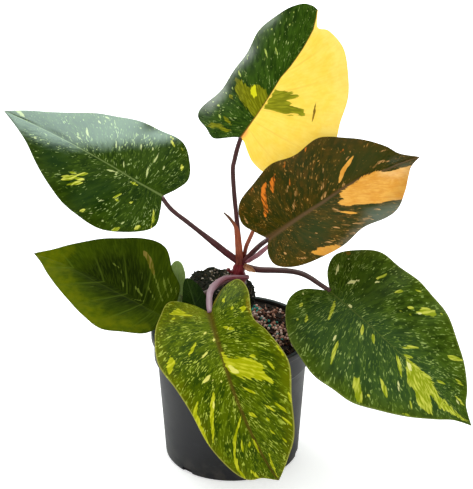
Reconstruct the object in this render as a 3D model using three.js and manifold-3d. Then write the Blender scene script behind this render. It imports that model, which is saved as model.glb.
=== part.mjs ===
// Potted philodendron with variegated leaves, in a black nursery pot.
// Millimetres, +Z up. The origin is the middle of the pot's foot, and the leaves face -Y.
import * as THREE from "three";
import { mergeVertices } from "three/addons/utils/BufferGeometryUtils.js";
import Module from "manifold-3d";

const wasm = await Module();
wasm.setup();

// Driving dimensions
const clearance = 0.3;
const pot = {
  height: 95,
  lipRadius: 56.5,
  lipHeight: 4.8,
  collarRadius: 54.5,
  collarBottom: 75.5,
  stepBottom: 73,
  shoulderRadius: 52,
  footRadius: 47,
  footRounding: 2.5,
  wall: 1.2,
  floor: 1.6,
  drains: 6,
  drainWidth: 9,
  drainHeight: 4,
  firstDrain: 228,
};
// The pot and the mix have the same number of sides, so that the gap between them stays even.
const turnedSides = 40;
const mix = { level: 91.8, roughness: 1.1, rings: 9, pellets: 26, pelletSpread: 47, seed: 11 };
const plug = {
  x: -8,
  y: 20,
  radius: 23,
  top: 125,
  sunk: 20,
  sunkRadius: 18,
  lumps: 1.5,
  tilt: 0.11,
  sides: 26,
};
const stem = {
  path: [[4, 14, 114], [4, 14, 125], [4, 13, 131], [4.5, 12.3, 135.5], [5.5, 12, 140], [6.3, 12, 147]],
  radii: [5, 5.6, 6.2, 4.9, 3.6, 2.4],
  nub: { at: [-2.4, 8, 138.2], radius: 1.2 },
};
const blade = { thickness: 0.8, ribDepth: 1.3, ribGroove: 0.25, stations: 24, waveLength: 34 };

// A leaf's margin is its reach from a centre on the midrib at these bearings, from the notch to the tip.
const bearings = [168, 156, 141, 122, 98, 72, 48, 28, 13, 5];
const centreShare = 0.3;
const columns = [0, 0.07, 0.3, 0.55, 0.8, 1];
const footNear = 0.15;

// Blades: where the stalk meets them, how they are turned, and how each half folds and curls
const leaves = {
  leaf_a: {
    at: [-47, -10.5, 202], heading: 157, pitch: 25, roll: -33, length: 130, droop: 16, sway: 2, wave: 1.2,
    left: { fold: 1, curl: -8, reach: [45, 52, 51, 48, 45, 43, 46, 53, 64, 77] },
    right: { fold: 6, curl: -21, reach: [45, 51, 52, 52, 45, 41, 44, 50, 63, 78] },
    color: 0x2f5a20,
  },
  leaf_b: {
    at: [6, 40, 224], heading: 32.5, pitch: 44, roll: 12.4, length: 103, droop: -14.5, sway: 4, wave: 0.8,
    left: { fold: 4, curl: -20, reach: [35.5, 45.5, 49.5, 59.5, 45.5, 46, 58, 65.5, 71.5, 73] },
    right: { fold: -16, curl: -17, reach: [34, 43.5, 51, 50.5, 56.5, 55, 58.5, 64.5, 65, 62] },
    color: 0xc8c04a,
  },
  leaf_c: {
    at: [24.5, -36, 182], heading: 28, pitch: 29, roll: 28, length: 131, droop: 32, sway: -6, wave: 0.8,
    left: { fold: 11, curl: -6, reach: [44, 50, 50, 44, 42, 41, 55, 64, 74, 79] },
    right: { fold: 14, curl: -6, reach: [48, 53, 51, 46, 41, 40, 53, 60, 69, 78] },
    color: 0x8a6a2c,
  },
  leaf_d: {
    at: [66.5, -30, 140], heading: -32, pitch: -28, roll: 31, length: 132, droop: 19, sway: -1, wave: 1.2,
    left: { fold: 1, curl: -12, reach: [52, 60, 60, 58, 51, 53, 57, 65, 75, 81] },
    right: { fold: 6, curl: -11, reach: [55, 61, 60, 57, 53, 53, 56, 63, 73, 81] },
    color: 0x3f7028,
  },
  leaf_e: {
    at: [-15, -37.5, 127], heading: -82, pitch: -12, roll: 16, length: 138, droop: 100, sway: 14, wave: 0.8,
    left: { fold: 24, curl: -6, reach: [59, 63, 51, 36, 38, 47, 51, 63, 75, 86] },
    right: { fold: 15, curl: -1, reach: [54, 63, 54, 47, 43, 38, 43, 61, 83, 88] },
    color: 0x5c8a24,
  },
  leaf_f: {
    at: [-44, -15, 112], heading: 182, pitch: 37, roll: 87, length: 116, droop: 32, sway: 1, wave: 0.8,
    left: { fold: 19, curl: 0, reach: [37, 36, 37, 35, 41, 40, 41, 48, 59, 69] },
    right: { fold: 14, curl: -2, reach: [34, 37, 38, 37, 39, 38, 40, 48, 60, 70] },
    color: 0x4c5c14,
  },
  leaf_g: {
    at: [-36.5, 3, 119], heading: 180, pitch: 86, roll: -78, length: 29, droop: -6, sway: 0, wave: 0,
    left: { fold: 12, curl: 0, reach: [8, 7, 6, 5.5, 5, 5.5, 7.5, 12, 18, 20] },
    right: { fold: 12, curl: 0, reach: [8, 7, 6, 5, 4.5, 5, 7, 11.5, 17.5, 20] },
    stalk: [[-32, 0, 82], [-34.5, 2, 100], [-36.5, 3, 119.5]],
    color: 0x9fbf8a,
  },
  leaf_h: {
    at: [-22.5, -18, 113.5], heading: 158, pitch: 72, roll: -70, length: 30, droop: 6, sway: 0, wave: 0,
    left: { fold: 10, curl: -10, reach: [8.5, 9, 9.5, 9.5, 9, 9, 10, 12.5, 17, 20] },
    right: { fold: 10, curl: -10, reach: [8.5, 9, 9.5, 9.5, 9.5, 10, 12, 15.5, 18.5, 20.3] },
    stalk: [[-18, -15, 82], [-20.5, -17, 98], [-22.5, -18, 114]],
    color: 0x1f3814,
  },
};
const smallStalkRadius = 1.2;

// Stalks and shoot: the middle line from the stem outwards, and the radius along it
const stalks = {
  petiole_a: {
    path: [
      [5, 11, 142.5], [-1.7, 7.5, 149.5], [-6.7, 5, 154.9], [-15, 0.8, 164.2], [-28.5, -5, 178.7],
      [-40.6, -9.6, 191.4], [-46.9, -10.6, 200.8],
    ],
    radii: [2.5, 2.4, 2.25, 1.7, 1.6, 1.55, 1.5],
    color: 0x4a2a2a,
  },
  petiole_b: {
    path: [
      [6.3, 12, 142], [5.6, 12.6, 149.4], [3.8, 17.5, 167.7], [1.7, 25.5, 186.9], [0.7, 32.8, 202.6],
      [2, 36, 209.5], [3.7, 38.5, 216], [6.1, 40, 223.4],
    ],
    radii: [2, 1.9, 1.7, 1.6, 1.6, 1.6, 1.6, 1.6],
    color: 0x42262a,
  },
  petiole_c: {
    path: [[8.1, 10, 142.5], [11.8, 5, 149.5], [15.9, -4, 158.7], [20.3, -18, 169.9], [24.4, -35.6, 181.4]],
    radii: [2.1, 1.9, 1.8, 1.7, 1.6],
    color: 0x42262a,
  },
  petiole_d: {
    path: [
      [9.8, 9.5, 139.5], [18, 5.5, 139.3], [29.7, -2, 142.4], [39, -7.8, 144.6], [46.6, -12.8, 145.4],
      [53, -18, 144.7], [59, -24, 143], [66.2, -29.8, 140.4],
    ],
    radii: [2.3, 2.2, 2.1, 2, 1.9, 1.8, 1.7, 1.6],
    color: 0x5e444c,
  },
  petiole_e: {
    path: [
      [8.1, 12, 130.8], [10.6, 8, 132.2], [6.3, 4, 134.1], [0.8, 1, 135.6], [-4.1, -1.5, 136.3],
      [-8.5, -6, 136.1], [-12.2, -12, 135.2], [-14.7, -19, 134], [-15.4, -26, 132.2], [-15.3, -32, 129.8],
      [-14.9, -36.6, 127.5],
    ],
    radii: [1.7, 1.7, 1.6, 1.6, 1.8, 2.2, 2.5, 2.3, 2.1, 2.1, 1.8],
    color: 0xa88090,
  },
  petiole_f: {
    path: [
      [2.9, 10, 132.1], [-2.7, 3.5, 132.6], [-9, -3.5, 132.3], [-14.4, -9, 130.5], [-20, -11, 128.3],
      [-32, -13.5, 121.5], [-44, -14.8, 112.4],
    ],
    radii: [2.2, 1.9, 1.8, 1.7, 1.6, 1.6, 1.5],
    color: 0x8a7480,
  },
  shoot: {
    path: [
      [7.7, 12, 142], [8.9, 11, 149.4], [10.3, 10.5, 155.7], [13.2, 10, 163], [16.3, 8, 172.1], [20, 7, 182],
    ],
    radii: [1.6, 1.5, 1.5, 1.4, 1.1, 0.6],
    color: 0x7a3c38,
  },
};

// Sheaths: the middle line from the stem outwards, and half the width along it
const sheaths = {
  sheath_b: {
    path: [
      [5, 8, 142], [4.9, 6.5, 152.2], [4.6, 7.5, 157.2], [4, 9, 163.4], [2.9, 10.5, 168.7], [0.4, 11.8, 172.9],
      [-2.4, 12.5, 176.2], [-5.6, 13, 179.2],
    ],
    widths: [1.8, 2.5, 2.5, 2.3, 2, 1.2, 1, 0.7],
    color: 0x96553a,
  },
  sheath_pink: {
    path: [[10.8, 6.5, 144.8], [13.4, 3, 148.6], [16.8, -4, 154.4], [20.6, -13, 162.2], [25.2, -22, 171.3]],
    widths: [1.8, 2.2, 2.2, 2, 0.8],
    color: 0xa87880,
  },
  scale: {
    path: [[7.5, 9, 141.3], [10.5, 4.2, 141], [13.5, 2.8, 140.2], [16.2, 3.2, 138.4]],
    widths: [1.6, 3, 3, 0.8],
    color: 0xb09070,
  },
};
const sheathBow = 0.35;
const sheathWall = 0.9;

// Where noise is wanted, a sum of sines in three directions serves: -1 to 1, the same on every run.
function lumps(x, y, z, size) {
  const [u, v, w] = [x / size, y / size, z / size];
  return (Math.sin(u + 1.7 * v) + Math.sin(2.3 * v - 1.1 * w + 0.7) + Math.sin(1.9 * w - 2.1 * u + 2.4)) / 3;
}

function seededRandom(seed) {
  let state = seed;
  return () => {
    state = (state * 1664525 + 1013904223) % 4294967296;
    return state / 4294967296;
  };
}

// A closed geometry as a solid for cutting and joining, and back
function toSolid(geometry) {
  const bare = new THREE.BufferGeometry();
  bare.setAttribute("position", geometry.getAttribute("position").clone());
  if (geometry.index) bare.setIndex(geometry.index.clone());
  const merged = mergeVertices(bare, 1e-3);
  return new wasm.Manifold(
    new wasm.Mesh({
      numProp: 3,
      vertProperties: merged.getAttribute("position").array,
      triVerts: new Uint32Array(merged.index.array),
    }),
  );
}

function toGeometry(solid) {
  const mesh = solid.getMesh();
  const geometry = new THREE.BufferGeometry();
  geometry.setAttribute("position", new THREE.BufferAttribute(new Float32Array(mesh.vertProperties), 3));
  geometry.setIndex(new THREE.BufferAttribute(new Uint32Array(mesh.triVerts), 1));
  geometry.computeVertexNormals();
  return geometry;
}

// The largest of the bodies that a cut leaves
function mainBody(solid) {
  return solid.decompose().reduce((best, body) => (body.volume() > best.volume() ? body : best));
}

// The values of a short list, read at a share of its length
function along(values, share) {
  const place = THREE.MathUtils.clamp(share, 0, 1) * (values.length - 1);
  const index = Math.min(Math.floor(place), values.length - 2);
  return THREE.MathUtils.lerp(values[index], values[index + 1], place - index);
}

function pointsOf(path) {
  return path.map((point) => new THREE.Vector3(...point));
}

// A path with its two ends moved outwards
function lengthened(path, by) {
  const points = pointsOf(path);
  const last = points.length - 1;
  const outwards = (end, inner) => points[end].clone().sub(points[inner]).setLength(by);
  const [atStart, atEnd] = [outwards(0, 1), outwards(last, last - 1)];
  points[0].add(atStart);
  points[last].add(atEnd);
  return points;
}

// A stalk: a section drawn one unit wide and swept along a curve, then scaled at each station
function sweep(path, section, steps, widthAt, grow = 0) {
  const curve = new THREE.CatmullRomCurve3(lengthened(path, grow));
  const geometry = new THREE.ExtrudeGeometry(new THREE.Shape(section), {
    steps,
    extrudePath: curve,
    bevelEnabled: false,
  });
  const stations = curve.getSpacedPoints(steps);
  const position = geometry.getAttribute("position");
  const vertex = new THREE.Vector3();
  for (let i = 0; i < position.count; i++) {
    vertex.fromBufferAttribute(position, i);
    const distances = stations.map((station) => station.distanceTo(vertex));
    const nearest = distances.indexOf(Math.min(...distances));
    const station = stations[nearest];
    vertex.sub(station).multiplyScalar(widthAt(nearest / steps)).add(station);
    position.setXYZ(i, vertex.x, vertex.y, vertex.z);
  }
  return geometry;
}

function roundSection(sides) {
  return Array.from({ length: sides }, (_, i) => {
    const angle = (2 * Math.PI * i) / sides;
    return new THREE.Vector2(Math.cos(angle), Math.sin(angle));
  });
}

// A thin crescent, one unit to each side, for a sheath that wraps part of a stalk
function crescentSection() {
  const points = [];
  const steps = 6;
  const half = sheathWall / 4;
  const edge = (i, lift) => {
    const x = -1 + (2 * i) / steps;
    return new THREE.Vector2(x, sheathBow * (1 - x * x) + lift);
  };
  for (let i = 0; i <= steps; i++) points.push(edge(i, -half));
  for (let i = steps; i >= 0; i--) points.push(edge(i, half));
  return points;
}

function stalkGeometry(spec, grow = 0) {
  const length = new THREE.CatmullRomCurve3(pointsOf(spec.path)).getLength();
  const steps = Math.max(6, Math.round(length / 6));
  return sweep(spec.path, roundSection(8), steps, (share) => along(spec.radii, share) + grow, grow);
}

function sheathGeometry(spec) {
  const length = new THREE.CatmullRomCurve3(pointsOf(spec.path)).getLength();
  const steps = Math.max(5, Math.round(length / 4));
  return sweep(spec.path, crescentSection(), steps, (share) => along(spec.widths, share));
}

// Half a leaf's margin as a smooth line from the notch to the tip, on the flat blade
function marginOf(length, reach) {
  const centre = centreShare * length;
  const points = bearings.map((bearing, i) => {
    const angle = THREE.MathUtils.degToRad(bearing);
    return new THREE.Vector2(centre + reach[i] * Math.cos(angle), reach[i] * Math.sin(angle));
  });
  return new THREE.SplineCurve([new THREE.Vector2(0, 0), ...points, new THREE.Vector2(length, 0)]);
}

// Bends a flat blade point: each half folds and curls about the midrib, and the midrib arches down.
function bendBlade(leaf, side, x, y, lift) {
  const half = side > 0 ? leaf.left : leaf.right;
  const halfWidth = 40;
  const fold = THREE.MathUtils.degToRad(half.fold);
  const curl = THREE.MathUtils.degToRad(half.curl || 0.01) / halfWidth;
  const across = (Math.sin(fold + curl * y) - Math.sin(fold)) / curl;
  const ripple = leaf.wave * (y / halfWidth) ** 2 * Math.sin((2 * Math.PI * x) / blade.waveLength + side);
  const height = (Math.cos(fold) - Math.cos(fold + curl * y)) / curl + ripple + lift;
  const arch = THREE.MathUtils.degToRad(leaf.droop || 0.01) / leaf.length;
  const angle = arch * x;
  return new THREE.Vector3(
    Math.sin(angle) / arch + height * Math.sin(angle),
    side * across + leaf.sway * (x / leaf.length) ** 2,
    (Math.cos(angle) - 1) / arch + height * Math.cos(angle),
  );
}

// A blade in its own frame: x from the stalk to the tip, z up from its upper face.
// Both faces are split alike, so that they never cross. grow makes it thicker and wider.
function bladeGeometry(leaf, grow = 0) {
  const small = leaf.length < 60;
  const rows = small ? 9 : blade.stations;
  const reachOut = columns.length - 1;
  const [leftMargin, rightMargin] = [leaf.left, leaf.right].map((half) => marginOf(leaf.length, half.reach));
  const ribDepth = small ? 0.4 : blade.ribDepth;
  const ribGroove = small ? 0 : blade.ribGroove;

  const surfacePoint = (row, column, face) => {
    const share = row / rows;
    const side = column < 0 ? -1 : 1;
    const foot = new THREE.Vector2(leaf.length * (footNear * share + (1 - footNear) * share ** 3), 0);
    const edge = (side > 0 ? leftMargin : rightMargin).getPoint(share);
    const span = foot.distanceTo(edge);
    const t = columns[Math.abs(column)];
    const flat = foot.lerp(edge, t * (t === 1 && span > 0 ? 1 + grow / span : 1));
    const onRib = column === 0;
    const half = blade.thickness / 2 + grow;
    const upper = half - (onRib ? ribGroove : 0);
    const lower = -half - (onRib ? ribDepth * (1 - share) : 0);
    return bendBlade(leaf, side, flat.x, Math.abs(flat.y), face > 0 ? upper : lower);
  };

  const vertices = [];
  const number = new Map();
  const vertexAt = (row, column, face) => {
    const key = row === 0 || row === rows ? `${row} end ${face}` : `${row} ${column} ${face}`;
    if (!number.has(key)) {
      number.set(key, vertices.length / 3);
      const end = row === 0 || row === rows;
      const point = surfacePoint(row, end ? reachOut : column, face);
      if (end && grow > 0) point.x += row === 0 ? -grow : grow;
      vertices.push(...point.toArray());
    }
    return number.get(key);
  };

  const faces = [];
  const addFace = (a, b, c) => {
    if (a !== b && b !== c && c !== a) faces.push(a, b, c);
  };
  for (let row = 0; row < rows; row++) {
    for (let column = -reachOut; column < reachOut; column++) {
      const corners = (face) => [
        vertexAt(row, column, face),
        vertexAt(row + 1, column, face),
        vertexAt(row + 1, column + 1, face),
        vertexAt(row, column + 1, face),
      ];
      const [a, b, c, d] = corners(1);
      addFace(a, b, c);
      addFace(a, c, d);
      const [e, f, g, h] = corners(-1);
      addFace(e, g, f);
      addFace(e, h, g);
    }
    for (const column of [-reachOut, reachOut]) {
      const top = [vertexAt(row, column, 1), vertexAt(row + 1, column, 1)];
      const bottom = [vertexAt(row, column, -1), vertexAt(row + 1, column, -1)];
      const [first, second] = column > 0 ? [top, bottom] : [bottom, top];
      addFace(first[0], first[1], second[1]);
      addFace(first[0], second[1], second[0]);
    }
  }
  const geometry = new THREE.BufferGeometry();
  geometry.setAttribute("position", new THREE.BufferAttribute(new Float32Array(vertices), 3));
  geometry.setIndex(faces);
  geometry.computeVertexNormals();
  return geometry;
}

function placeLeaf(object, leaf) {
  const [roll, pitch, heading] = [leaf.roll, -leaf.pitch, leaf.heading].map(THREE.MathUtils.degToRad);
  object.position.set(...leaf.at);
  object.rotation.set(roll, pitch, heading, "ZYX");
  object.updateMatrix();
}

// A leaf's blade, grown by the clearance and placed, to cut its stalk short of it
function bladeRoom(leaf) {
  const holder = new THREE.Object3D();
  placeLeaf(holder, leaf);
  return toSolid(bladeGeometry(leaf, 2 * clearance).applyMatrix4(holder.matrix));
}

function materialOf(color, roughness) {
  return new THREE.MeshStandardMaterial({ color, roughness, metalness: 0 });
}

function meshOf(name, geometry, color, roughness) {
  const mesh = new THREE.Mesh(geometry, materialOf(color, roughness));
  mesh.name = name;
  return mesh;
}

// A profile of radii and heights turned about the upright axis
function turned(profile, sides) {
  const points = profile.map(([radius, height]) => new THREE.Vector2(radius, height));
  return new THREE.LatheGeometry(points, sides).rotateX(Math.PI / 2);
}

// The pot: foot, tapered wall, sloped step, collar and rolled lip, with drain notches round the foot
function potSolid() {
  const inner = (radius) => radius - pot.wall;
  const lipFillet = 1.2;
  const profile = [
    [0, 0],
    [pot.footRadius - pot.footRounding, 0],
    [pot.footRadius - 0.3 * pot.footRounding, 0.3 * pot.footRounding],
    [pot.footRadius, pot.footRounding],
    [pot.shoulderRadius, pot.stepBottom],
    [pot.collarRadius, pot.collarBottom],
    [pot.collarRadius, pot.height - pot.lipHeight],
    [pot.lipRadius - lipFillet, pot.height - pot.lipHeight],
    [pot.lipRadius, pot.height - pot.lipHeight + lipFillet],
    [pot.lipRadius, pot.height - lipFillet],
    [pot.lipRadius - lipFillet, pot.height],
    [inner(pot.collarRadius) + lipFillet, pot.height],
    [inner(pot.collarRadius), pot.height - lipFillet],
    [inner(pot.collarRadius), pot.collarBottom],
    [inner(pot.shoulderRadius), pot.stepBottom],
    [inner(pot.footRadius), pot.floor],
    [0, pot.floor],
  ];
  let solid = toSolid(turned(profile, turnedSides));
  const depth = 5;
  for (let i = 0; i < pot.drains; i++) {
    const angle = THREE.MathUtils.degToRad(pot.firstDrain + (360 * i) / pot.drains);
    const notch = new THREE.BoxGeometry(depth, pot.drainWidth, 2 * pot.drainHeight)
      .translate(pot.footRadius, 0, 0)
      .rotateZ(angle);
    solid = solid.subtract(toSolid(notch));
  }
  return solid;
}

// Radius of the pot's inner wall at a height between the floor and the step
function innerRadius(z) {
  const share = (z - pot.floor) / (pot.stepBottom - pot.floor);
  return THREE.MathUtils.lerp(pot.footRadius, pot.shoulderRadius, share) - pot.wall;
}

// Height of the mix's lumpy top
function mixTop(x, y) {
  return mix.level + mix.roughness * (lumps(x, y, 0, 2.6) + 0.8 * lumps(y, x, 5, 7));
}

// The potting mix, with a lumpy top and feed pellets half sunk in it
function mixSolid(pockets) {
  const bottom = pot.floor + clearance;
  const edge = pot.collarRadius - pot.wall - clearance;
  const profile = [
    [0, bottom],
    [innerRadius(bottom) - clearance, bottom],
    [pot.shoulderRadius - pot.wall - clearance, pot.stepBottom],
    [edge, pot.collarBottom],
    [edge, mix.level],
  ];
  for (let i = mix.rings - 1; i >= 0; i--) profile.push([(edge * i) / mix.rings, mix.level]);
  const geometry = turned(profile, turnedSides);
  const position = geometry.getAttribute("position");
  for (let i = 0; i < position.count; i++) {
    const [x, y, z] = [position.getX(i), position.getY(i), position.getZ(i)];
    if (z > mix.level - 0.01) position.setZ(i, mixTop(x, y));
  }
  let solid = toSolid(geometry);
  const random = seededRandom(mix.seed);
  for (let i = 0; i < mix.pellets; i++) {
    const angle = 2 * Math.PI * random();
    const away = mix.pelletSpread * Math.sqrt(random());
    const radius = 1.3 + 0.8 * random();
    const [x, y] = [away * Math.cos(angle), away * Math.sin(angle)];
    const nearPlug = Math.hypot(x - plug.x, y - plug.y) < plug.radius + 3;
    if (nearPlug) continue;
    const pellet = new THREE.IcosahedronGeometry(radius, 0).translate(x, y, mixTop(x, y) + 0.2 * radius);
    solid = solid.add(toSolid(pellet));
  }
  return mainBody(pockets.reduce((rest, pocket) => rest.subtract(pocket), solid));
}

// The rooting plug: a mossy drum with a round shoulder, sunk in the mix. grow widens it for its pocket.
function plugSolid(grow = 0) {
  const bottom = mix.level - plug.sunk - grow;
  const profile = [
    [0, bottom],
    [plug.sunkRadius + grow, bottom],
    [plug.sunkRadius + 1 + grow, mix.level - 4],
    [plug.radius - 3 + grow, mix.level + 4],
    [plug.radius - 2 + grow, mix.level + 14],
    [plug.radius + 0.5 + grow, plug.top - 12],
    [plug.radius - 0.5 + grow, plug.top - 5],
    [plug.radius - 4 + grow, plug.top - 1],
    [plug.radius - 10, plug.top + grow],
    [plug.radius - 16, plug.top + grow],
    [0, plug.top + grow],
  ];
  const geometry = turned(profile, plug.sides);
  const position = geometry.getAttribute("position");
  for (let i = 0; i < position.count; i++) {
    const [x, y, z] = [position.getX(i), position.getY(i), position.getZ(i)];
    const share = THREE.MathUtils.smoothstep(z, mix.level + 2, mix.level + 12);
    const push = 1 + (share * plug.lumps * lumps(x, y, z, 3.4)) / plug.radius;
    const rise = share * (plug.lumps * lumps(y, x, z, 4.1) - plug.tilt * x);
    position.setXYZ(i, x * push, y * push, z + rise);
  }
  return toSolid(geometry.translate(plug.x, plug.y, 0));
}

function stemSolid(grow = 0) {
  const body = sweep(stem.path, roundSection(12), 12, (share) => along(stem.radii, share) + grow, grow);
  const nub = new THREE.IcosahedronGeometry(stem.nub.radius + grow, 1).translate(...stem.nub.at);
  const bridge = sweep([[2.2, 11, 133.8], [-1, 9, 135.8], stem.nub.at], roundSection(6), 3, () => 1 + grow);
  return mainBody(toSolid(body).add(toSolid(bridge)).add(toSolid(nub)));
}

const plant = new THREE.Group();
const stemRoom = stemSolid(clearance);
const taken = [stemRoom];

// Each stalk ends just clear of the stem, of the stalks already there and of its own blade.
for (const [name, spec] of Object.entries(stalks)) {
  const leaf = leaves[name.replace("petiole", "leaf")];
  let solid = toSolid(stalkGeometry(spec));
  for (const room of taken) solid = solid.subtract(room);
  if (leaf) solid = solid.subtract(bladeRoom(leaf));
  taken.push(toSolid(stalkGeometry(spec, clearance)));
  plant.add(meshOf(name, toGeometry(mainBody(solid)), spec.color, 0.5));
}
for (const [name, spec] of Object.entries(sheaths)) {
  const solid = taken.reduce((rest, room) => rest.subtract(room), toSolid(sheathGeometry(spec)));
  plant.add(meshOf(name, toGeometry(mainBody(solid)), spec.color, 0.6));
}

const pockets = [plugSolid(clearance)];
for (const [name, leaf] of Object.entries(leaves)) {
  const mesh = meshOf(name, bladeGeometry(leaf), leaf.color, 0.4);
  placeLeaf(mesh, leaf);
  if (leaf.stalk) {
    const radii = [smallStalkRadius, smallStalkRadius];
    const stalk = toSolid(stalkGeometry({ path: leaf.stalk, radii }));
    const placed = toSolid(mesh.geometry.clone().applyMatrix4(mesh.matrix));
    pockets.push(toSolid(stalkGeometry({ path: leaf.stalk, radii }, clearance)));
    mesh.geometry = toGeometry(mainBody(placed.add(stalk)));
    mesh.position.set(0, 0, 0);
    mesh.rotation.set(0, 0, 0);
    mesh.updateMatrix();
  }
  plant.add(mesh);
}

const model = new THREE.Group();
model.add(meshOf("pot", toGeometry(potSolid()), 0x232325, 0.45));
model.add(meshOf("potting_mix", toGeometry(mixSolid(pockets)), 0x2c1a14, 0.95));
model.add(meshOf("root_plug", toGeometry(mainBody(plugSolid().subtract(stemRoom))), 0x242a1e, 0.95));
plant.add(meshOf("stem", toGeometry(stemSolid()), 0x6e2a34, 0.55));
model.add(plant);

export default model;
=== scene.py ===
# Looks for the potted philodendron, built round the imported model. Blender 4.5, metres, Z up.
import math
import random

import bmesh
import bpy
import numpy as np
from mathutils import Matrix, Vector


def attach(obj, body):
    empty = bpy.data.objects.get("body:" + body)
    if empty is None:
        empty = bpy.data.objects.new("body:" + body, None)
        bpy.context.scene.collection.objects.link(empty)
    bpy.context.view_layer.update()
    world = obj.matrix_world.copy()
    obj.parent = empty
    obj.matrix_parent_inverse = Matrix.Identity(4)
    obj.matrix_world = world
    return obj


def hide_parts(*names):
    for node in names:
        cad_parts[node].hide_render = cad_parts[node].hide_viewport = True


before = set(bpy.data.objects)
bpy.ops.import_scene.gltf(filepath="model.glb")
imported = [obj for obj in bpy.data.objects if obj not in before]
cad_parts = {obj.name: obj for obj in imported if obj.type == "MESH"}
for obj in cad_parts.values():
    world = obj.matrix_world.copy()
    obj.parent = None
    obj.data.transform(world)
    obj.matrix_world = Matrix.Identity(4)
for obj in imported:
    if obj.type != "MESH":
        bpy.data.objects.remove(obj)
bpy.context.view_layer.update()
scene = bpy.context.scene
mm = 0.001

# Camera, lights and floor

cameraLook = {
    "target": (0.0032, 0, 0.161),
    "elevation": 25,
    "distance": 1.51,
    "focalPixels": 2200,
    "longSidePixels": 489,
}
lampLook = {
    # azimuth runs from the camera's side to its right, both angles in degrees; a lamp lights all
    # surfaces, or only what is matt or what is gloss on them
    "overheadPanel": {"azimuth": 178, "elevation": 77, "strength": 1.5, "spread": 50,
                      "colour": (0.97, 1, 1), "shows": "matt"},
    "skylight": {"azimuth": -172, "elevation": 76, "strength": 3.3, "spread": 62,
                 "colour": (0.74, 1, 0.89), "shows": "gloss"},
    "backLeftPanel": {"azimuth": -138, "elevation": 21, "strength": 0.9, "spread": 30,
                      "colour": (0.93, 1, 0.93), "shows": "all"},
    "softFront": {"azimuth": -12, "elevation": 48, "strength": 1.0, "spread": 110,
                  "colour": (1, 1, 1), "shows": "matt"},
}
# the room's own light, and how much of it shows in glossy surfaces
roomLook = {"light": 0.62, "gleam": 0.04, "floorColour": (0.93, 0.93, 0.93), "floorDimmer": 0.985,
            "floorGlow": 0.46, "floorSize": 6}


def aimFrom(azimuth, elevation):
    # unit vector from the plant towards that direction
    turn = math.radians(azimuth)
    lift = math.radians(elevation)
    return Vector((math.sin(turn) * math.cos(lift), -math.cos(turn) * math.cos(lift), math.sin(lift)))


def makeCamera(look):
    data = bpy.data.cameras.new("camera")
    data.sensor_width = 36
    data.lens = 36 * look["focalPixels"] / look["longSidePixels"]
    data.clip_end = 20
    camera = bpy.data.objects.new("camera", data)
    scene.collection.objects.link(camera)
    camera.location = Vector(look["target"]) + look["distance"] * aimFrom(0, look["elevation"])
    camera.rotation_euler = (math.radians(90 - look["elevation"]), 0, 0)
    scene.camera = camera


def makeLamp(name, look):
    data = bpy.data.lights.new(name, "SUN")
    data.energy = look["strength"]
    data.angle = math.radians(look["spread"])
    data.color = look["colour"]
    lamp = bpy.data.objects.new(name, data)
    lamp.visible_glossy = look["shows"] != "matt"
    lamp.visible_diffuse = look["shows"] != "gloss"
    scene.collection.objects.link(lamp)
    lamp.rotation_euler = aimFrom(look["azimuth"], look["elevation"]).to_track_quat("Z", "Y").to_euler()


def addNode(tree, kind, values=None, **settings):
    # a node with its settings, and with its inputs set or linked by name or number
    node = tree.nodes.new(kind)
    for key, value in settings.items():
        setattr(node, key, value)
    for key, value in (values or {}).items():
        if isinstance(value, bpy.types.NodeSocket):
            tree.links.new(value, node.inputs[key])
        else:
            node.inputs[key].default_value = value
    return node


def calc(tree, operation, *values):
    return addNode(tree, "ShaderNodeMath", dict(enumerate(values)), operation=operation).outputs[0]


def times(tree, first, second):
    return calc(tree, "MULTIPLY", first, second)


def ease(tree, value, low, high, toLow=0.0, toHigh=1.0):
    values = {"Value": value, "From Min": low, "From Max": high, "To Min": toLow, "To Max": toHigh}
    return addNode(tree, "ShaderNodeMapRange", values, interpolation_type="SMOOTHSTEP").outputs[0]


def tone(red, green, blue):
    # a colour given as it looks on screen, 0 to 255, as a linear one
    values = []
    for value in (red, green, blue):
        share = value / 255
        linear = share / 12.92 if share <= 0.04045 else ((share + 0.055) / 1.055) ** 2.4
        values.append(linear)
    return (*values, 1)


def blendColour(tree, share, first, second):
    # a colour of three numbers is one as it looks on screen, and one of four is linear
    values = {0: share, 6: first, 7: second}
    for key in (6, 7):
        if isinstance(values[key], tuple) and len(values[key]) == 3:
            values[key] = tone(*values[key])
    return addNode(tree, "ShaderNodeMix", values, data_type="RGBA").outputs[2]


def paintOver(tree, colour, mask, strength, paint):
    return blendColour(tree, times(tree, mask, strength), colour, paint)


def valueOf(tree, name, output="Fac"):
    # a value that the mesh carries: one number, or three as a Vector
    return addNode(tree, "ShaderNodeAttribute", attribute_name=name).outputs[output]


def splitVector(tree, vector):
    return addNode(tree, "ShaderNodeSeparateXYZ", {0: vector}).outputs


def objectPlace(tree):
    return addNode(tree, "ShaderNodeTexCoord").outputs["Object"]


def noiseAt(tree, place, scale, detail=3.0, rough=0.5, stretch=None):
    if stretch:
        values = {0: place, 1: stretch}
        place = addNode(tree, "ShaderNodeVectorMath", values, operation="MULTIPLY").outputs[0]
    values = {"Vector": place, "Scale": scale, "Detail": detail, "Roughness": rough}
    return addNode(tree, "ShaderNodeTexNoise", values).outputs[0]


def newMaterial(name, **plain):
    # plain holds the shader's constants, set on its own sockets
    material = bpy.data.materials.new(name)
    material.use_nodes = True
    tree = material.node_tree
    shader = tree.nodes["Principled BSDF"]
    for key, value in plain.items():
        shader.inputs[key].default_value = value
    return material, tree, shader


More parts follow.
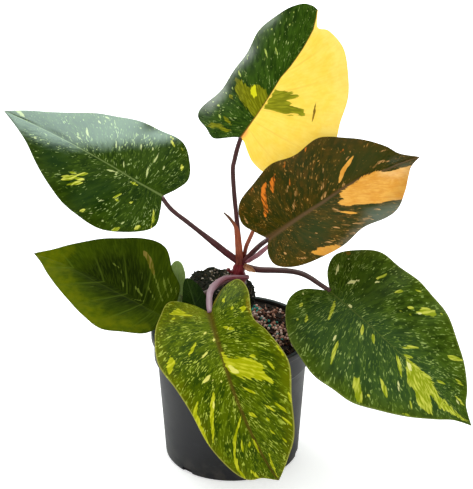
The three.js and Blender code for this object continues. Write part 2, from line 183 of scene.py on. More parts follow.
def feedShader(tree, shader, colour, rough, height, strength, depth):
    # colour, roughness and relief; depth is in millimetres
    tree.links.new(colour, shader.inputs["Base Color"])
    tree.links.new(rough, shader.inputs["Roughness"])
    bump = addNode(tree, "ShaderNodeBump", {"Height": height, "Strength": strength, "Distance": depth * mm})
    tree.links.new(bump.outputs[0], shader.inputs["Normal"])


def meshFrom(bm, name):
    mesh = bpy.data.meshes.new(name)
    bm.to_mesh(mesh)
    bm.free()
    return mesh


def gridMesh(name, xCount, yCount, size=1):
    bm = bmesh.new()
    bmesh.ops.create_grid(bm, x_segments=xCount, y_segments=yCount, size=size)
    return meshFrom(bm, name)


def linkedObject(name, mesh):
    item = bpy.data.objects.new(name, mesh)
    scene.collection.objects.link(item)
    return item


def makeRoom(look):
    world = bpy.data.worlds.new("studio")
    scene.world = world
    world.use_nodes = True
    tree = world.node_tree
    tree.nodes.clear()
    seen = addNode(tree, "ShaderNodeBackground", {"Color": (1, 1, 1, 1), "Strength": 1.0})
    rays = addNode(tree, "ShaderNodeLightPath")
    values = {0: rays.outputs["Is Glossy Ray"], 2: look["light"], 3: look["gleam"]}
    strength = addNode(tree, "ShaderNodeMix", values).outputs[0]
    cast = addNode(tree, "ShaderNodeBackground", {"Color": (1, 1, 1, 1), "Strength": strength})
    values = {0: rays.outputs["Is Camera Ray"], 1: cast.outputs[0], 2: seen.outputs[0]}
    mixed = addNode(tree, "ShaderNodeMixShader", values)
    addNode(tree, "ShaderNodeOutputWorld", {"Surface": mixed.outputs[0]})
    floor = linkedObject("floor", gridMesh("floor", 1, 1, look["floorSize"] / 2))
    # a light table: its own glow keeps the shadows on it soft
    plain = {"Roughness": 0.9, "Emission Strength": look["floorGlow"]}
    material, tree, shader = newMaterial("floorPaper", **plain)
    seen = addNode(tree, "ShaderNodeLightPath").outputs["Is Camera Ray"]
    tree.links.new(blendColour(tree, seen, (0, 0, 0, 1), (1, 1, 1, 1)), shader.inputs["Emission Color"])
    tint = ease(tree, noiseAt(tree, objectPlace(tree), 900, 2), 0.3, 0.7)
    base = (*look["floorColour"], 1)
    dimmer = (*[look["floorDimmer"] * value for value in look["floorColour"]], 1)
    tree.links.new(blendColour(tree, tint, dimmer, base), shader.inputs["Base Color"])
    floor.data.materials.append(material)


scene.view_settings.view_transform = "Standard"
scene.view_settings.look = "None"
makeCamera(cameraLook)
for lampName, lamp in lampLook.items():
    makeLamp(lampName, lamp)
makeRoom(roomLook)
print("camera, lights and floor are set")


# Shared helpers for the pieces

def finishPiece(name, mesh, materials, nodes, sharpAngle=60):
    mesh.name = name
    piece = linkedObject(name, mesh)
    mesh.materials.clear()
    for material in materials:
        mesh.materials.append(material)
    mesh.polygons.foreach_set("use_smooth", [True] * len(mesh.polygons))
    mesh.set_sharp_from_angle(angle=math.radians(sharpAngle))
    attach(piece, "root")
    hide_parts(*nodes)
    triangles = sum(len(face.vertices) - 2 for face in mesh.polygons)
    print(f"{name}: {triangles} triangles")


def placesOf(mesh):
    places = np.empty(3 * len(mesh.vertices))
    mesh.vertices.foreach_get("co", places)
    return places.reshape(-1, 3)


def moveTo(mesh, places):
    mesh.vertices.foreach_set("co", np.ascontiguousarray(places, dtype=float).ravel())
    mesh.update()


def giveValues(mesh, name, values):
    # values for each vertex: one number, or three
    values = np.asarray(values, dtype=float)
    kind = "FLOAT" if values.ndim == 1 else "FLOAT_VECTOR"
    attribute = mesh.attributes.new(name, kind, "POINT")
    attribute.data.foreach_set("value" if values.ndim == 1 else "vector", values.ravel())


def readValues(mesh, name):
    values = np.empty(3 * len(mesh.vertices))
    mesh.attributes[name].data.foreach_get("vector", values)
    return values.reshape(-1, 3)


def mergePoles(mesh):
    # the places where a blade's rows meet become one vertex
    bm = bmesh.new()
    bm.from_mesh(mesh)
    bmesh.ops.remove_doubles(bm, verts=bm.verts, dist=1e-7)
    bmesh.ops.recalc_face_normals(bm, faces=bm.faces)
    bm.to_mesh(mesh)
    bm.free()


def appliedMesh(mesh, kind, **settings):
    # the mesh with one modifier applied
    holder = linkedObject("holder", mesh)
    modifier = holder.modifiers.new(kind, kind)
    for key, value in settings.items():
        setattr(modifier, key, value)
    bpy.context.view_layer.update()
    graph = bpy.context.evaluated_depsgraph_get()
    result = bpy.data.meshes.new_from_object(holder.evaluated_get(graph))
    bpy.data.objects.remove(holder)
    return result


def smoothStep(values, low, high):
    share = np.clip((values - low) / (high - low), 0, 1)
    return share * share * (3 - 2 * share)


def smoothLine(points, shares):
    # a Catmull-Rom line through the points, read at shares of its length in points
    points = np.array(points, float)
    last = len(points) - 1
    place = np.clip(np.asarray(shares, float), 0, 1) * last
    index = np.minimum(place.astype(int), last - 1)
    part = (place - index)[..., None]
    before, start, end, after = [points[np.clip(index + step, 0, last)] for step in (-1, 0, 1, 2)]
    leave = (end - before) / 2
    arrive = (after - start) / 2
    cubic = (2 * start - 2 * end + leave + arrive) * part**3
    return cubic + (3 * end - 3 * start - 2 * leave - arrive) * part**2 + leave * part + start


def lumps(x, y, z, size):
    # the same bumps as the model's, -1 to 1
    u, v, w = x / size, y / size, z / size
    return (np.sin(u + 1.7 * v) + np.sin(2.3 * v - 1.1 * w + 0.7) + np.sin(1.9 * w - 2.1 * u + 2.4)) / 3


# The leaf blades: the model's own formula, with veins, relief and markings

bladeShape = {
    # a leaf's reach is from a point on the midrib to the margin, at these bearings
    "bearings": (168, 156, 141, 122, 98, 72, 48, 28, 13, 5),
    "centreShare": 0.3,
    "footNear": 0.15,
    "halfWidth": 40,
    "waveLength": 34,
    # in millimetres, but a side vein's width is a share of the space between two
    "thickness": 0.6,
    "edgeThickness": 0.34,
    "grooveDepth": 0.35,
    "grooveWidth": 1.1,
    "ribDepth": 1.3,
    "ribWidth": 1.5,
    "veinDepth": 0.2,
    "veinWidth": 0.07,
    "veinBow": 0.05,
    # a young leaf's relief is this share of a large one's
    "youngRelief": 0.3,
    # faces from foot to tip and from midrib to margin
    "largeGrid": (220, 60),
    "youngGrid": (70, 20),
}


def marginLine(length, reach, shares):
    centre = bladeShape["centreShare"] * length
    angles = np.radians(bladeShape["bearings"])
    points = [(0, 0)]
    points += [(centre + far * math.cos(a), far * math.sin(a)) for far, a in zip(reach, angles)]
    points.append((length, 0))
    return smoothLine(points, shares)


def flatPlace(leaf, side, shares, out):
    # a place on the flat blade: shares runs from the notch to the tip, out from midrib to margin
    margins = [marginLine(leaf["length"], leaf[half]["reach"], shares) for half in ("left", "right")]
    edge = np.where((side >= 0)[:, None], margins[0], margins[1])
    near = bladeShape["footNear"]
    foot = leaf["length"] * (near * shares + (1 - near) * shares**3)
    bow = bladeShape["veinBow"] * leaf["length"] * out * (1 - out) * np.sin(np.pi * shares)
    return foot + (edge[:, 0] - foot) * out - bow, edge[:, 1] * out


def bendBlade(leaf, side, x, y, lift):
    places = []
    for half, sign in (("left", 1), ("right", -1)):
        fold = math.radians(leaf[half]["fold"])
        curl = math.radians(leaf[half]["curl"] or 0.01) / bladeShape["halfWidth"]
        across = (np.sin(fold + curl * y) - math.sin(fold)) / curl
        wave = np.sin(2 * np.pi * x / bladeShape["waveLength"] + sign)
        height = (math.cos(fold) - np.cos(fold + curl * y)) / curl + lift
        height = height + leaf["wave"] * (y / bladeShape["halfWidth"]) ** 2 * wave
        arch = math.radians(leaf["droop"] or 0.01) / leaf["length"]
        angle = arch * x
        forward = np.sin(angle) / arch + height * np.sin(angle)
        sideways = sign * across + leaf["sway"] * (x / leaf["length"]) ** 2
        upward = (np.cos(angle) - 1) / arch + height * np.cos(angle)
        places.append(np.stack([forward, sideways, upward], axis=1))
    return np.where((side >= 0)[:, None], places[0], places[1])


def placeBlade(leaf, points):
    heading, pitch, roll = [math.radians(leaf[key]) for key in ("heading", "pitch", "roll")]
    turn = Matrix.Rotation(heading, 3, "Z") @ Matrix.Rotation(-pitch, 3, "Y")
    turn = turn @ Matrix.Rotation(roll, 3, "X")
    return (points @ np.array(turn).T + np.array(leaf["at"])) * mm


def segmentDistance(x, y, start, end):
    # distance from each place to a segment, and how far along it the nearest point is
    along = np.array(end, float) - start
    share = ((x - start[0]) * along[0] + (y - start[1]) * along[1]) / max(along @ along, 1e-9)
    share = np.clip(share, 0, 1)
    return np.hypot(x - start[0] - share * along[0], y - start[1] - share * along[1]), share


def strokeField(x, y, stroke, soft):
    # a brush stroke: points in millimetres, then half its width; it thins towards both ends
    *points, width = stroke
    count = len(points) - 1
    field = np.zeros_like(x)
    for i in range(count):
        away, share = segmentDistance(x, y, points[i], points[i + 1])
        along = np.abs(2 * (i + share) / count - 1)
        field = np.maximum(field, 0.5 + (width * (1 - 0.8 * along**2) - away) / soft)
    return np.clip(field, 0, 2)


def areaField(x, y, outline, soft):
    # a drawn area: one half on its outline, more inside, less outside
    inside = np.zeros(len(x), bool)
    away = np.full(len(x), 1e9)
    for start, end in zip(outline, outline[1:] + outline[:1]):
        away = np.minimum(away, segmentDistance(x, y, start, end)[0])
        crosses = (start[1] > y) != (end[1] > y)
        rise = end[1] - start[1] or 1e-9
        inside ^= crosses & (x < (end[0] - start[0]) * (y - start[1]) / rise + start[0])
    return np.clip(0.5 + np.where(inside, away, -away) / soft, 0, 2)


# Each leaf's marks are drawn in millimetres along and across its blade. A stroke is its points and
# half its width, and an area is its outline. These are how many millimetres their edges take.
markSoftness = {
    "patch": (2.2, 4.5), "pale": (2.2, 4.5), "warm": (2.2, 4.5), "plain": (6, 18), "tint": (6, 26),
    "scar": (1.6, 4), "wax": (6, 16),
}
markGroups = {"marksOne": ("patch", "pale", "warm"), "marksTwo": ("plain", "tint", "scar")}


def markField(x, y, leaf, kind):
    strokeSoft, areaSoft = markSoftness[kind]
    field = np.zeros_like(x)
    for stroke in leaf.get(kind + "Strokes", []):
        field = np.maximum(field, strokeField(x, y, stroke, strokeSoft))
    for outline in leaf.get(kind + "Areas", []):
        field = np.maximum(field, areaField(x, y, outline, areaSoft))
    return field


def ridgeShape(away, width):
    return np.exp(-((away / width) ** 2))


def bladeMesh(leaf, age):
    rows, columns = bladeShape[age + "Grid"]
    mesh = gridMesh("blade", rows, 2 * columns)
    grid = placesOf(mesh)
    shares = (grid[:, 0] + 1) / 2
    side = np.sign(np.round(grid[:, 1], 6))
    out = np.abs(grid[:, 1])
    giveValues(mesh, "vein", np.stack([shares, out, side], axis=1))
    x, y = flatPlace(leaf, side, shares, out)
    moveTo(mesh, np.stack([x, np.where(side >= 0, y, -y), 0 * x], axis=1) * mm)
    mergePoles(mesh)
    if mesh.polygons[len(mesh.polygons) // 2].normal.z < 0:
        mesh.flip_normals()
    mesh = appliedMesh(mesh, "SOLIDIFY", thickness=bladeShape["thickness"] * mm, offset=0)
    shares, out, side = readValues(mesh, "vein").T
    under = (placesOf(mesh)[:, 2] < 0).astype(float)
    x, y = flatPlace(leaf, side, shares, out)
    signed = np.where(side >= 0, y, -y)
    bends = leaf.get("ribBend", ((0, 0), (leaf["length"], 0)))
    ribAway = signed - np.interp(x, *zip(*bends))
    # relief: a groove over the midrib and a ridge under it, side veins, and puckers between them
    scale = bladeShape["youngRelief"] if age == "young" else 1
    phase = np.abs((shares * leaf["sideVeins"] + 0.5) % 1 - 0.5)
    between = smoothStep(out, 0.05, 0.3) * (1 - 0.8 * smoothStep(out, 0.75, 1))
    pucker = leaf["pucker"] * scale * between * smoothStep(phase, 0, 0.45)
    half = bladeShape["thickness"] / 2
    half = half + (bladeShape["edgeThickness"] / 2 - half) * smoothStep(out, 0.9, 1)
    grooveDepth = leaf.get("groove", bladeShape["grooveDepth"]) * scale * (1 - 0.7 * shares)
    groove = grooveDepth * ridgeShape(ribAway, bladeShape["grooveWidth"] * scale)
    ribDepth = bladeShape["ribDepth"] * scale * (1 - shares)
    ridge = ribDepth * ridgeShape(ribAway, bladeShape["ribWidth"] * scale)
    sideRidge = bladeShape["veinDepth"] * scale * between * ridgeShape(phase, bladeShape["veinWidth"])
    lift = pucker + np.where(under > 0, -half - ridge - sideRidge, half - groove)
    lift = lift * np.where(np.isclose(shares, 1), 0.5, 1)
    moveTo(mesh, placeBlade(leaf, bendBlade(leaf, side, x, y, lift)))
    for name, kinds in markGroups.items():
        giveValues(mesh, name, np.stack([markField(x, signed, leaf, kind) for kind in kinds], axis=1))
    giveValues(mesh, "wax", markField(x, signed, leaf, "wax"))
    giveValues(mesh, "spot", np.stack([x / 10, signed / 10, ribAway], axis=1))
    giveValues(mesh, "under", under)
    return mesh


def bladeGroup():
    # masks that every blade's material shares, read from the blade's own values
    group = bpy.data.node_groups.new("bladeMarks", "ShaderNodeTree")
    for name in ("Seed", "Fleck Share", "Fleck Length", "Side Veins", "Rib Width", "Feather"):
        group.interface.new_socket(name=name, in_out="INPUT", socket_type="NodeSocketFloat")
    names = ("Broad", "Cloud", "Streaks", "Lines", "Flecks", "Bright", "Patch", "Pale", "Warm", "Plain",
             "Tint", "Scar", "Rib", "Half", "Veins", "Under", "Rough", "Height", "Edge", "Rim", "Wax")
    for name in names:
        group.interface.new_socket(name=name, in_out="OUTPUT", socket_type="NodeSocketFloat")
    entry = addNode(group, "NodeGroupInput").outputs
    groupOut = addNode(group, "NodeGroupOutput")

    def triple(name):
        return splitVector(group, valueOf(group, name, "Vector"))

    def signed(value, gain):
        return times(group, calc(group, "SUBTRACT", value, 0.5), gain)

    share, out, side = triple("vein")
    spotX, spotY, ribAway = triple("spot")
    patch, pale, warm = triple("marksOne")
    plain, tint, scar = triple("marksTwo")
    offset = calc(group, "MULTIPLY_ADD", side, 7.3, entry["Seed"])
    flat = addNode(group, "ShaderNodeCombineXYZ", {0: spotX, 1: spotY, 2: entry["Seed"]}).outputs[0]
    sway = calc(group, "MULTIPLY_ADD", noiseAt(group, flat, 1.3, 2), 0.014, share)
    along = times(group, out, entry["Fleck Length"])
    fibre = addNode(group, "ShaderNodeCombineXYZ", {0: sway, 1: along, 2: offset}).outputs[0]
    broad = noiseAt(group, flat, 0.5, 3, 0.55)
    cloud = noiseAt(group, flat, 1.5, 3, 0.6)
    streaks = noiseAt(group, fibre, 1, 3, 0.55, (62, 0.8, 1))
    fine = noiseAt(group, fibre, 1, 1, 0.5, (150, 1.0, 1))
    tiny = noiseAt(group, fibre, 1, 0, 0.5, (210, 2.4, 1))
    # flecks: short dashes along the veins, closer where the broad noise is high and few on plain ground
    limit = calc(group, "MULTIPLY_ADD", entry["Fleck Share"], -0.16, 0.76)
    limit = calc(group, "ADD", limit, signed(broad, -0.15))
    limit = calc(group, "MULTIPLY_ADD", ease(group, plain, 0.3, 0.9), 0.1, limit)
    longFlecks = ease(group, calc(group, "SUBTRACT", fine, limit), 0.0, 0.05)
    shortFlecks = ease(group, calc(group, "SUBTRACT", tiny, limit), 0.01, 0.06)
    flecks = calc(group, "MAXIMUM", longFlecks, shortFlecks)
    # drawn marks get feathered edges that follow the veins
    feather = calc(group, "ADD", signed(streaks, 2.3), signed(fine, 1.2))
    feather = times(group, feather, entry["Feather"])

    def crisp(field):
        inside = ease(group, calc(group, "ADD", field, feather), 0.41, 0.59)
        return times(group, inside, ease(group, field, 0.02, 0.16))

    # the midrib is narrower towards the tip
    ribWidth = times(group, calc(group, "MULTIPLY_ADD", share, -0.8, 1.05), entry["Rib Width"])
    ribEdge, ribMiddle = times(group, ribWidth, 1.5), times(group, ribWidth, 0.2)
    rib = ease(group, calc(group, "ABSOLUTE", ribAway), ribEdge, ribMiddle)
    phase = calc(group, "MULTIPLY_ADD", share, entry["Side Veins"], 0.5)
    phase = calc(group, "ABSOLUTE", calc(group, "SUBTRACT", calc(group, "FRACT", phase), 0.5))
    veins = times(group, ease(group, phase, 0.055, 0.015), ease(group, out, 0.9, 0.3))
    small = calc(group, "PINGPONG", times(group, sway, 64), 1.0)
    pores = noiseAt(group, flat, 26, 2)
    height = calc(group, "MULTIPLY_ADD", fine, 0.5, times(group, small, 0.35))
    height = calc(group, "MULTIPLY_ADD", streaks, 0.6, height)
    height = calc(group, "MULTIPLY_ADD", pores, 0.25, height)
    ground = calc(group, "MULTIPLY_ADD", streaks, 0.5, times(group, broad, 0.5))
    gleam = calc(group, "ADD", times(group, pores, 0.5), times(group, broad, 0.5))
    results = {
        "Broad": ease(group, ground, 0.36, 0.64),
        "Cloud": ease(group, cloud, 0.35, 0.65),
        "Streaks": ease(group, streaks, 0.4, 0.64),
        "Lines": ease(group, fine, 0.42, 0.66),
        "Flecks": flecks,
        "Bright": ease(group, cloud, 0.46, 0.6),
        "Patch": crisp(patch),
        "Pale": crisp(pale),
        "Warm": crisp(warm),
        "Plain": ease(group, calc(group, "ADD", plain, signed(cloud, 0.5)), 0.1, 0.9),
        "Tint": ease(group, calc(group, "ADD", tint, signed(cloud, 0.7)), 0.15, 0.95),
        "Scar": ease(group, calc(group, "MULTIPLY_ADD", feather, 0.2, scar), 0.42, 0.62),
        "Rib": rib,
        "Half": ease(group, ribAway, 0.35, -0.35),
        "Veins": veins,
        "Under": valueOf(group, "under"),
        "Rough": ease(group, gleam, 0.3, 0.7),
        "Height": height,
        "Edge": ease(group, calc(group, "ADD", out, signed(cloud, 0.25)), 0.72, 1.02),
        "Rim": ease(group, out, 0.972, 0.99),
        "Wax": ease(group, calc(group, "ADD", valueOf(group, "wax"), signed(streaks, 0.5)), 0.05, 0.95),
    }
    for name, value in results.items():
        group.links.new(value, groupOut.inputs[name])
    return group


bladeMarks = bladeGroup()


def layered(tree, marks, ground, layers):
    # a colour painted layer by layer: each layer is its masks, its strength and its colour
    colour = blendColour(tree, marks["Broad"], *ground)
    for masks, strength, paint in layers:
        share = strength
        for name in masks.split():
            share = times(tree, marks[name], share)
        colour = blendColour(tree, share, colour, paint)
    return colour


def bladeMaterial(name, leaf):
    look = leaf["skin"]
    plain = {
        "Specular IOR Level": look["gloss"],
        "Coat Roughness": 0.3,
        "Coat IOR": look.get("waxIndex", 1.5),
    }
    material, tree, shader = newMaterial(name, **plain)
    values = {
        "Seed": look["seed"],
        "Fleck Share": look["fleckShare"],
        "Fleck Length": look["fleckLength"],
        "Side Veins": float(leaf["sideVeins"]),
        "Rib Width": look.get("ribWidth", 1.0),
        "Feather": look.get("feather", 0.6),
    }
    marks = addNode(tree, "ShaderNodeGroup", values, node_tree=bladeMarks).outputs
    upper = layered(tree, marks, look["ground"], look["layers"])
    under = layered(tree, marks, look["underGround"], look["underLayers"])
    colour = blendColour(tree, marks["Under"], upper, under)
    shine = ease(tree, marks["Rough"], 0.0, 1.0, *look["rough"])
    rough = calc(tree, "MULTIPLY_ADD", marks["Under"], 0.16, shine)
    if "waxy" in look:
        # the waxy bloom on part of the upper side takes the sky's light
        coat = times(tree, marks["Wax"], calc(tree, "SUBTRACT", 1.0, marks["Under"]))
        tree.links.new(times(tree, coat, look["waxy"]), shader.inputs["Coat Weight"])
    feedShader(tree, shader, colour, rough, marks["Height"], 0.35, 0.1)
    return material


# Leaf A: large green blade, upper left, pale flecks and a yellow streaked patch

leafA = {
    "at": (-47, -10.5, 202), "heading": 157, "pitch": 25, "roll": -33,
    "length": 130, "droop": 16, "sway": 2, "wave": 1.2,
    "left": {"fold": 1, "curl": -8, "reach": (45, 52, 51, 48, 45, 43, 46, 53, 64, 77)},
    "right": {"fold": 6, "curl": -21, "reach": (45, 51, 52, 52, 45, 41, 44, 50, 63, 78)},
    "sideVeins": 9, "pucker": 0.1, "groove": 0.04,
    "ribBend": ((0, 0), (20, 1), (40, 0.5), (130, 0)),
    "patchStrokes": [
        ((49, 21), (54, 25), (58, 29), 1.3), ((56, 20), (60, 24), (63, 27), 2.1),
        ((50, 19), (56, 22), 1.0), ((61, 22), (65, 26), 1.0), ((51, 14), (56, 19), 0.9),
        ((57, 18), (63, 20), 0.8), ((-1, 27), (1, 31), 1.2), ((10, 36), (13, 40), 1.2),
        ((37, 38), (39, 41), 1.3), ((-7, 24), (-6, 20), (-3, 15), (-1, 12), 0.7),
        ((23, 14), (26, 20), 0.8), ((22, 20), (24, 20), 0.8), ((13, 15), (15, 17), 0.8),
        ((18, 3), (23, 3.5), 0.9), ((0, -24), (2, -28), 1.1), ((14, -37), (20, -41), 1.0),
        ((18, -42), (22, -44), 0.9), ((8, -38), (10, -40), 0.8),
    ],
    "paleStrokes": [
        ((35, 2.6), (42, 5), 0.8), ((10, 31), (12, 34), 0.5), ((30, 25), (33, 28), 0.5),
        ((31, 37), (33, 39), 0.5), ((16, -5), (18, -9), (20, -13), 0.5), ((33, -3), (36, -7), 0.4),
        ((24, -25), (26, -28), 0.6), ((30, -20), (34, -26), 0.4), ((46, -13), (49, -18), 0.5),
        ((40, -16), (43, -19), 0.5), ((67, -10), (70, -13), (72, -16), 0.6), ((62, -3), (65, -6), 0.4),
        ((66, -24), (69, -25), 0.6), ((10, -16), (11, -20), 0.6), ((18, -17), (20, -27), 0.5),
        ((114, -2), (122, -4), 1.1), ((96, 9), (99, 9), 0.6), ((64, -31), (67, -31), 0.6),
        ((41, -36), (42, -37), 0.7), ((33, 5), (35, 4), 0.5), ((70, -6), (74, -6), 0.35),
        ((22, 38), (24, 37), 0.6),
    ],
    "plainAreas": [
        [(28, 12), (26, 20), (33, 30), (40, 40), (46, 41), (52, 36), (50, 26), (44, 17), (38, 10)],
        [(62, 12), (68, 22), (80, 24), (90, 18), (84, 11), (72, 8)],
    ],
    "waxAreas": [
        [(14, -52), (21, -40), (32, -29), (42, -20), (52, -11), (62, -4), (72, 2), (84, 6), (96, 8),
         (108, 8), (118, 12), (144, 4), (144, -10), (110, -22), (80, -38), (50, -52)],
    ],
    "skin": {
        "seed": 1.0, "fleckShare": 0.55, "gloss": 0.025, "rough": (0.34, 0.44), "ribWidth": 0.9,
        "fleckLength": 6.5, "waxy": 1.0, "waxIndex": 2.0, "feather": 0.45,
        "ground": ((22, 42, 0), (42, 62, 2)),
        "layers": [
            ("Streaks", 0.35, (52, 74, 6)),
            ("Plain", 0.5, (20, 46, 4)),
            ("Veins", 0.12, (74, 96, 34)),
            ("Flecks", 0.5, (92, 116, 36)),
            ("Flecks Bright", 0.6, (176, 196, 120)),
            ("Patch", 0.85, (140, 152, 16)),
            ("Patch Lines", 0.7, (226, 224, 104)),
            ("Pale", 0.65, (206, 216, 140)),
            ("Rib", 0.55, (122, 138, 76)),
            ("Edge", 0.2, (64, 76, 2)),
        ],
        "underGround": ((66, 92, 30), (96, 122, 50)),
        "underLayers": [
            ("Flecks", 0.35, (150, 168, 80)),
            ("Patch", 0.7, (170, 182, 60)),
            ("Veins", 0.5, (136, 156, 80)),
            ("Rib", 0.85, (128, 92, 64)),
        ],
    },
}

# Leaf B: half-moon blade at the top, left half green, right half yellow

leafB = {
    "at": (6, 40, 224), "heading": 32.5, "pitch": 44, "roll": 12.4,
    "length": 103, "droop": -14.5, "sway": 4, "wave": 0.8,
    "left": {"fold": 4, "curl": -20, "reach": (35.5, 45.5, 49.5, 59.5, 45.5, 46, 58, 65.5, 71.5, 73)},
    "right": {"fold": -16, "curl": -17, "reach": (34, 43.5, 51, 50.5, 56.5, 55, 58.5, 64.5, 65, 62)},
    "sideVeins": 9, "pucker": 0.12,
    "ribBend": ((0, 0), (50, 0.5), (60, -1.5), (75, -3.2), (90, -3.5), (98, -1.5), (102, 0)),
    "patchAreas": [
        [(17, 0), (19, 10), (21, 18), (25, 30), (27, 34), (30, 32), (31, 38), (34, 37), (34, 31),
         (32, 22), (36, 15), (38, 12), (37, 6), (34, 1)],
        [(-6, 32), (-2, 31), (-1, 26), (0, 18), (0, 10), (-2, 14), (-3, 22), (-5, 28)],
        [(26, -1), (28, -10), (32, -20), (37, -28), (40, -26), (38, -19), (39, -12), (42, -14), (45, -18),
         (47, -17), (44, -8), (41, -1)],
    ],
    "patchStrokes": [((4, 13), (5, 19), (6, 24), 1.1), ((19, 26), (20, 30), (21, 34), 1.2)],
    "paleStrokes": [
        ((36, 33), (37, 36), (39, 39), 0.8), ((3, 24), (6, 30), 0.6), ((10, 34), (11, 38), 0.6),
        ((57, 20), (61, 27), 0.6), ((62, 13), (66, 18), 0.6), ((53, 20), (57, 24), 0.5),
        ((84, 16), (85, 17), 0.7), ((87, 14), (87, 16), 0.5), ((76, 31), (75, 30), 0.7),
        ((93, 18), (94, 19), 0.6), ((59, 34), (60, 36), 0.5),
    ],
    "warmAreas": [[(28, 10), (30, 15), (32, 18), (36, 16), (33, 12), (31, 10)]],
    "tintStrokes": [((-1, -1), (3, -1), (7, -1), 1.2)],
    "scarStrokes": [((36, -35.4), (42, -33.6), (49, -30.6), 0.7), ((41, -34), (45, -32.4), 1.0)],
    "waxAreas": [
        [(3, 64), (3, 37), (15, 37), (25, 38), (40, 37), (55, 34), (70, 32), (82, 30), (94, 34), (88, 56),
         (60, 62), (30, 62)],
    ],
    "skin": {
        "seed": 2.0, "fleckShare": 0.35, "gloss": 0.04, "rough": (0.34, 0.44), "fleckLength": 7.0,
        "ribWidth": 0.7, "waxy": 0.9, "feather": 0.5,
        "ground": ((24, 46, 0), (46, 72, 6)),
        "layers": [
            ("Streaks", 0.3, (60, 90, 16)),
            ("Veins", 0.15, (84, 112, 40)),
            ("Flecks", 0.4, (100, 128, 44)),
            ("Flecks Bright", 0.75, (170, 188, 110)),
            ("Patch", 0.9, (102, 104, 0)),
            ("Patch Lines", 0.5, (148, 150, 22)),
            ("Pale", 0.8, (178, 194, 90)),
            ("Warm", 0.95, (206, 204, 24)),
            ("Half", 1.0, (250, 212, 80)),
            ("Half Cloud", 0.4, (253, 226, 112)),
            ("Half Lines", 0.22, (238, 190, 60)),
            ("Half Veins", 0.45, (232, 186, 70)),
            ("Half Edge", 0.3, (255, 234, 140)),
            ("Half Tint", 0.85, (232, 120, 74)),
            ("Half Patch", 0.95, (104, 112, 2)),
            ("Half Patch Lines", 0.6, (164, 164, 34)),
            ("Scar", 0.9, (104, 74, 16)),
            ("Rib", 0.8, (112, 62, 20)),
        ],
        "underGround": ((70, 92, 40), (98, 122, 60)),
        "underLayers": [
            ("Patch", 0.7, (160, 168, 60)),
            ("Half", 1.0, (232, 204, 100)),
            ("Half Cloud", 0.4, (238, 214, 128)),
            ("Half Patch", 0.75, (132, 138, 40)),
            ("Veins", 0.35, (170, 160, 92)),
            ("Rib", 0.85, (138, 92, 62)),
        ],
    },
}

# Leaf C: bronze blade with an orange-gold patch, upper right

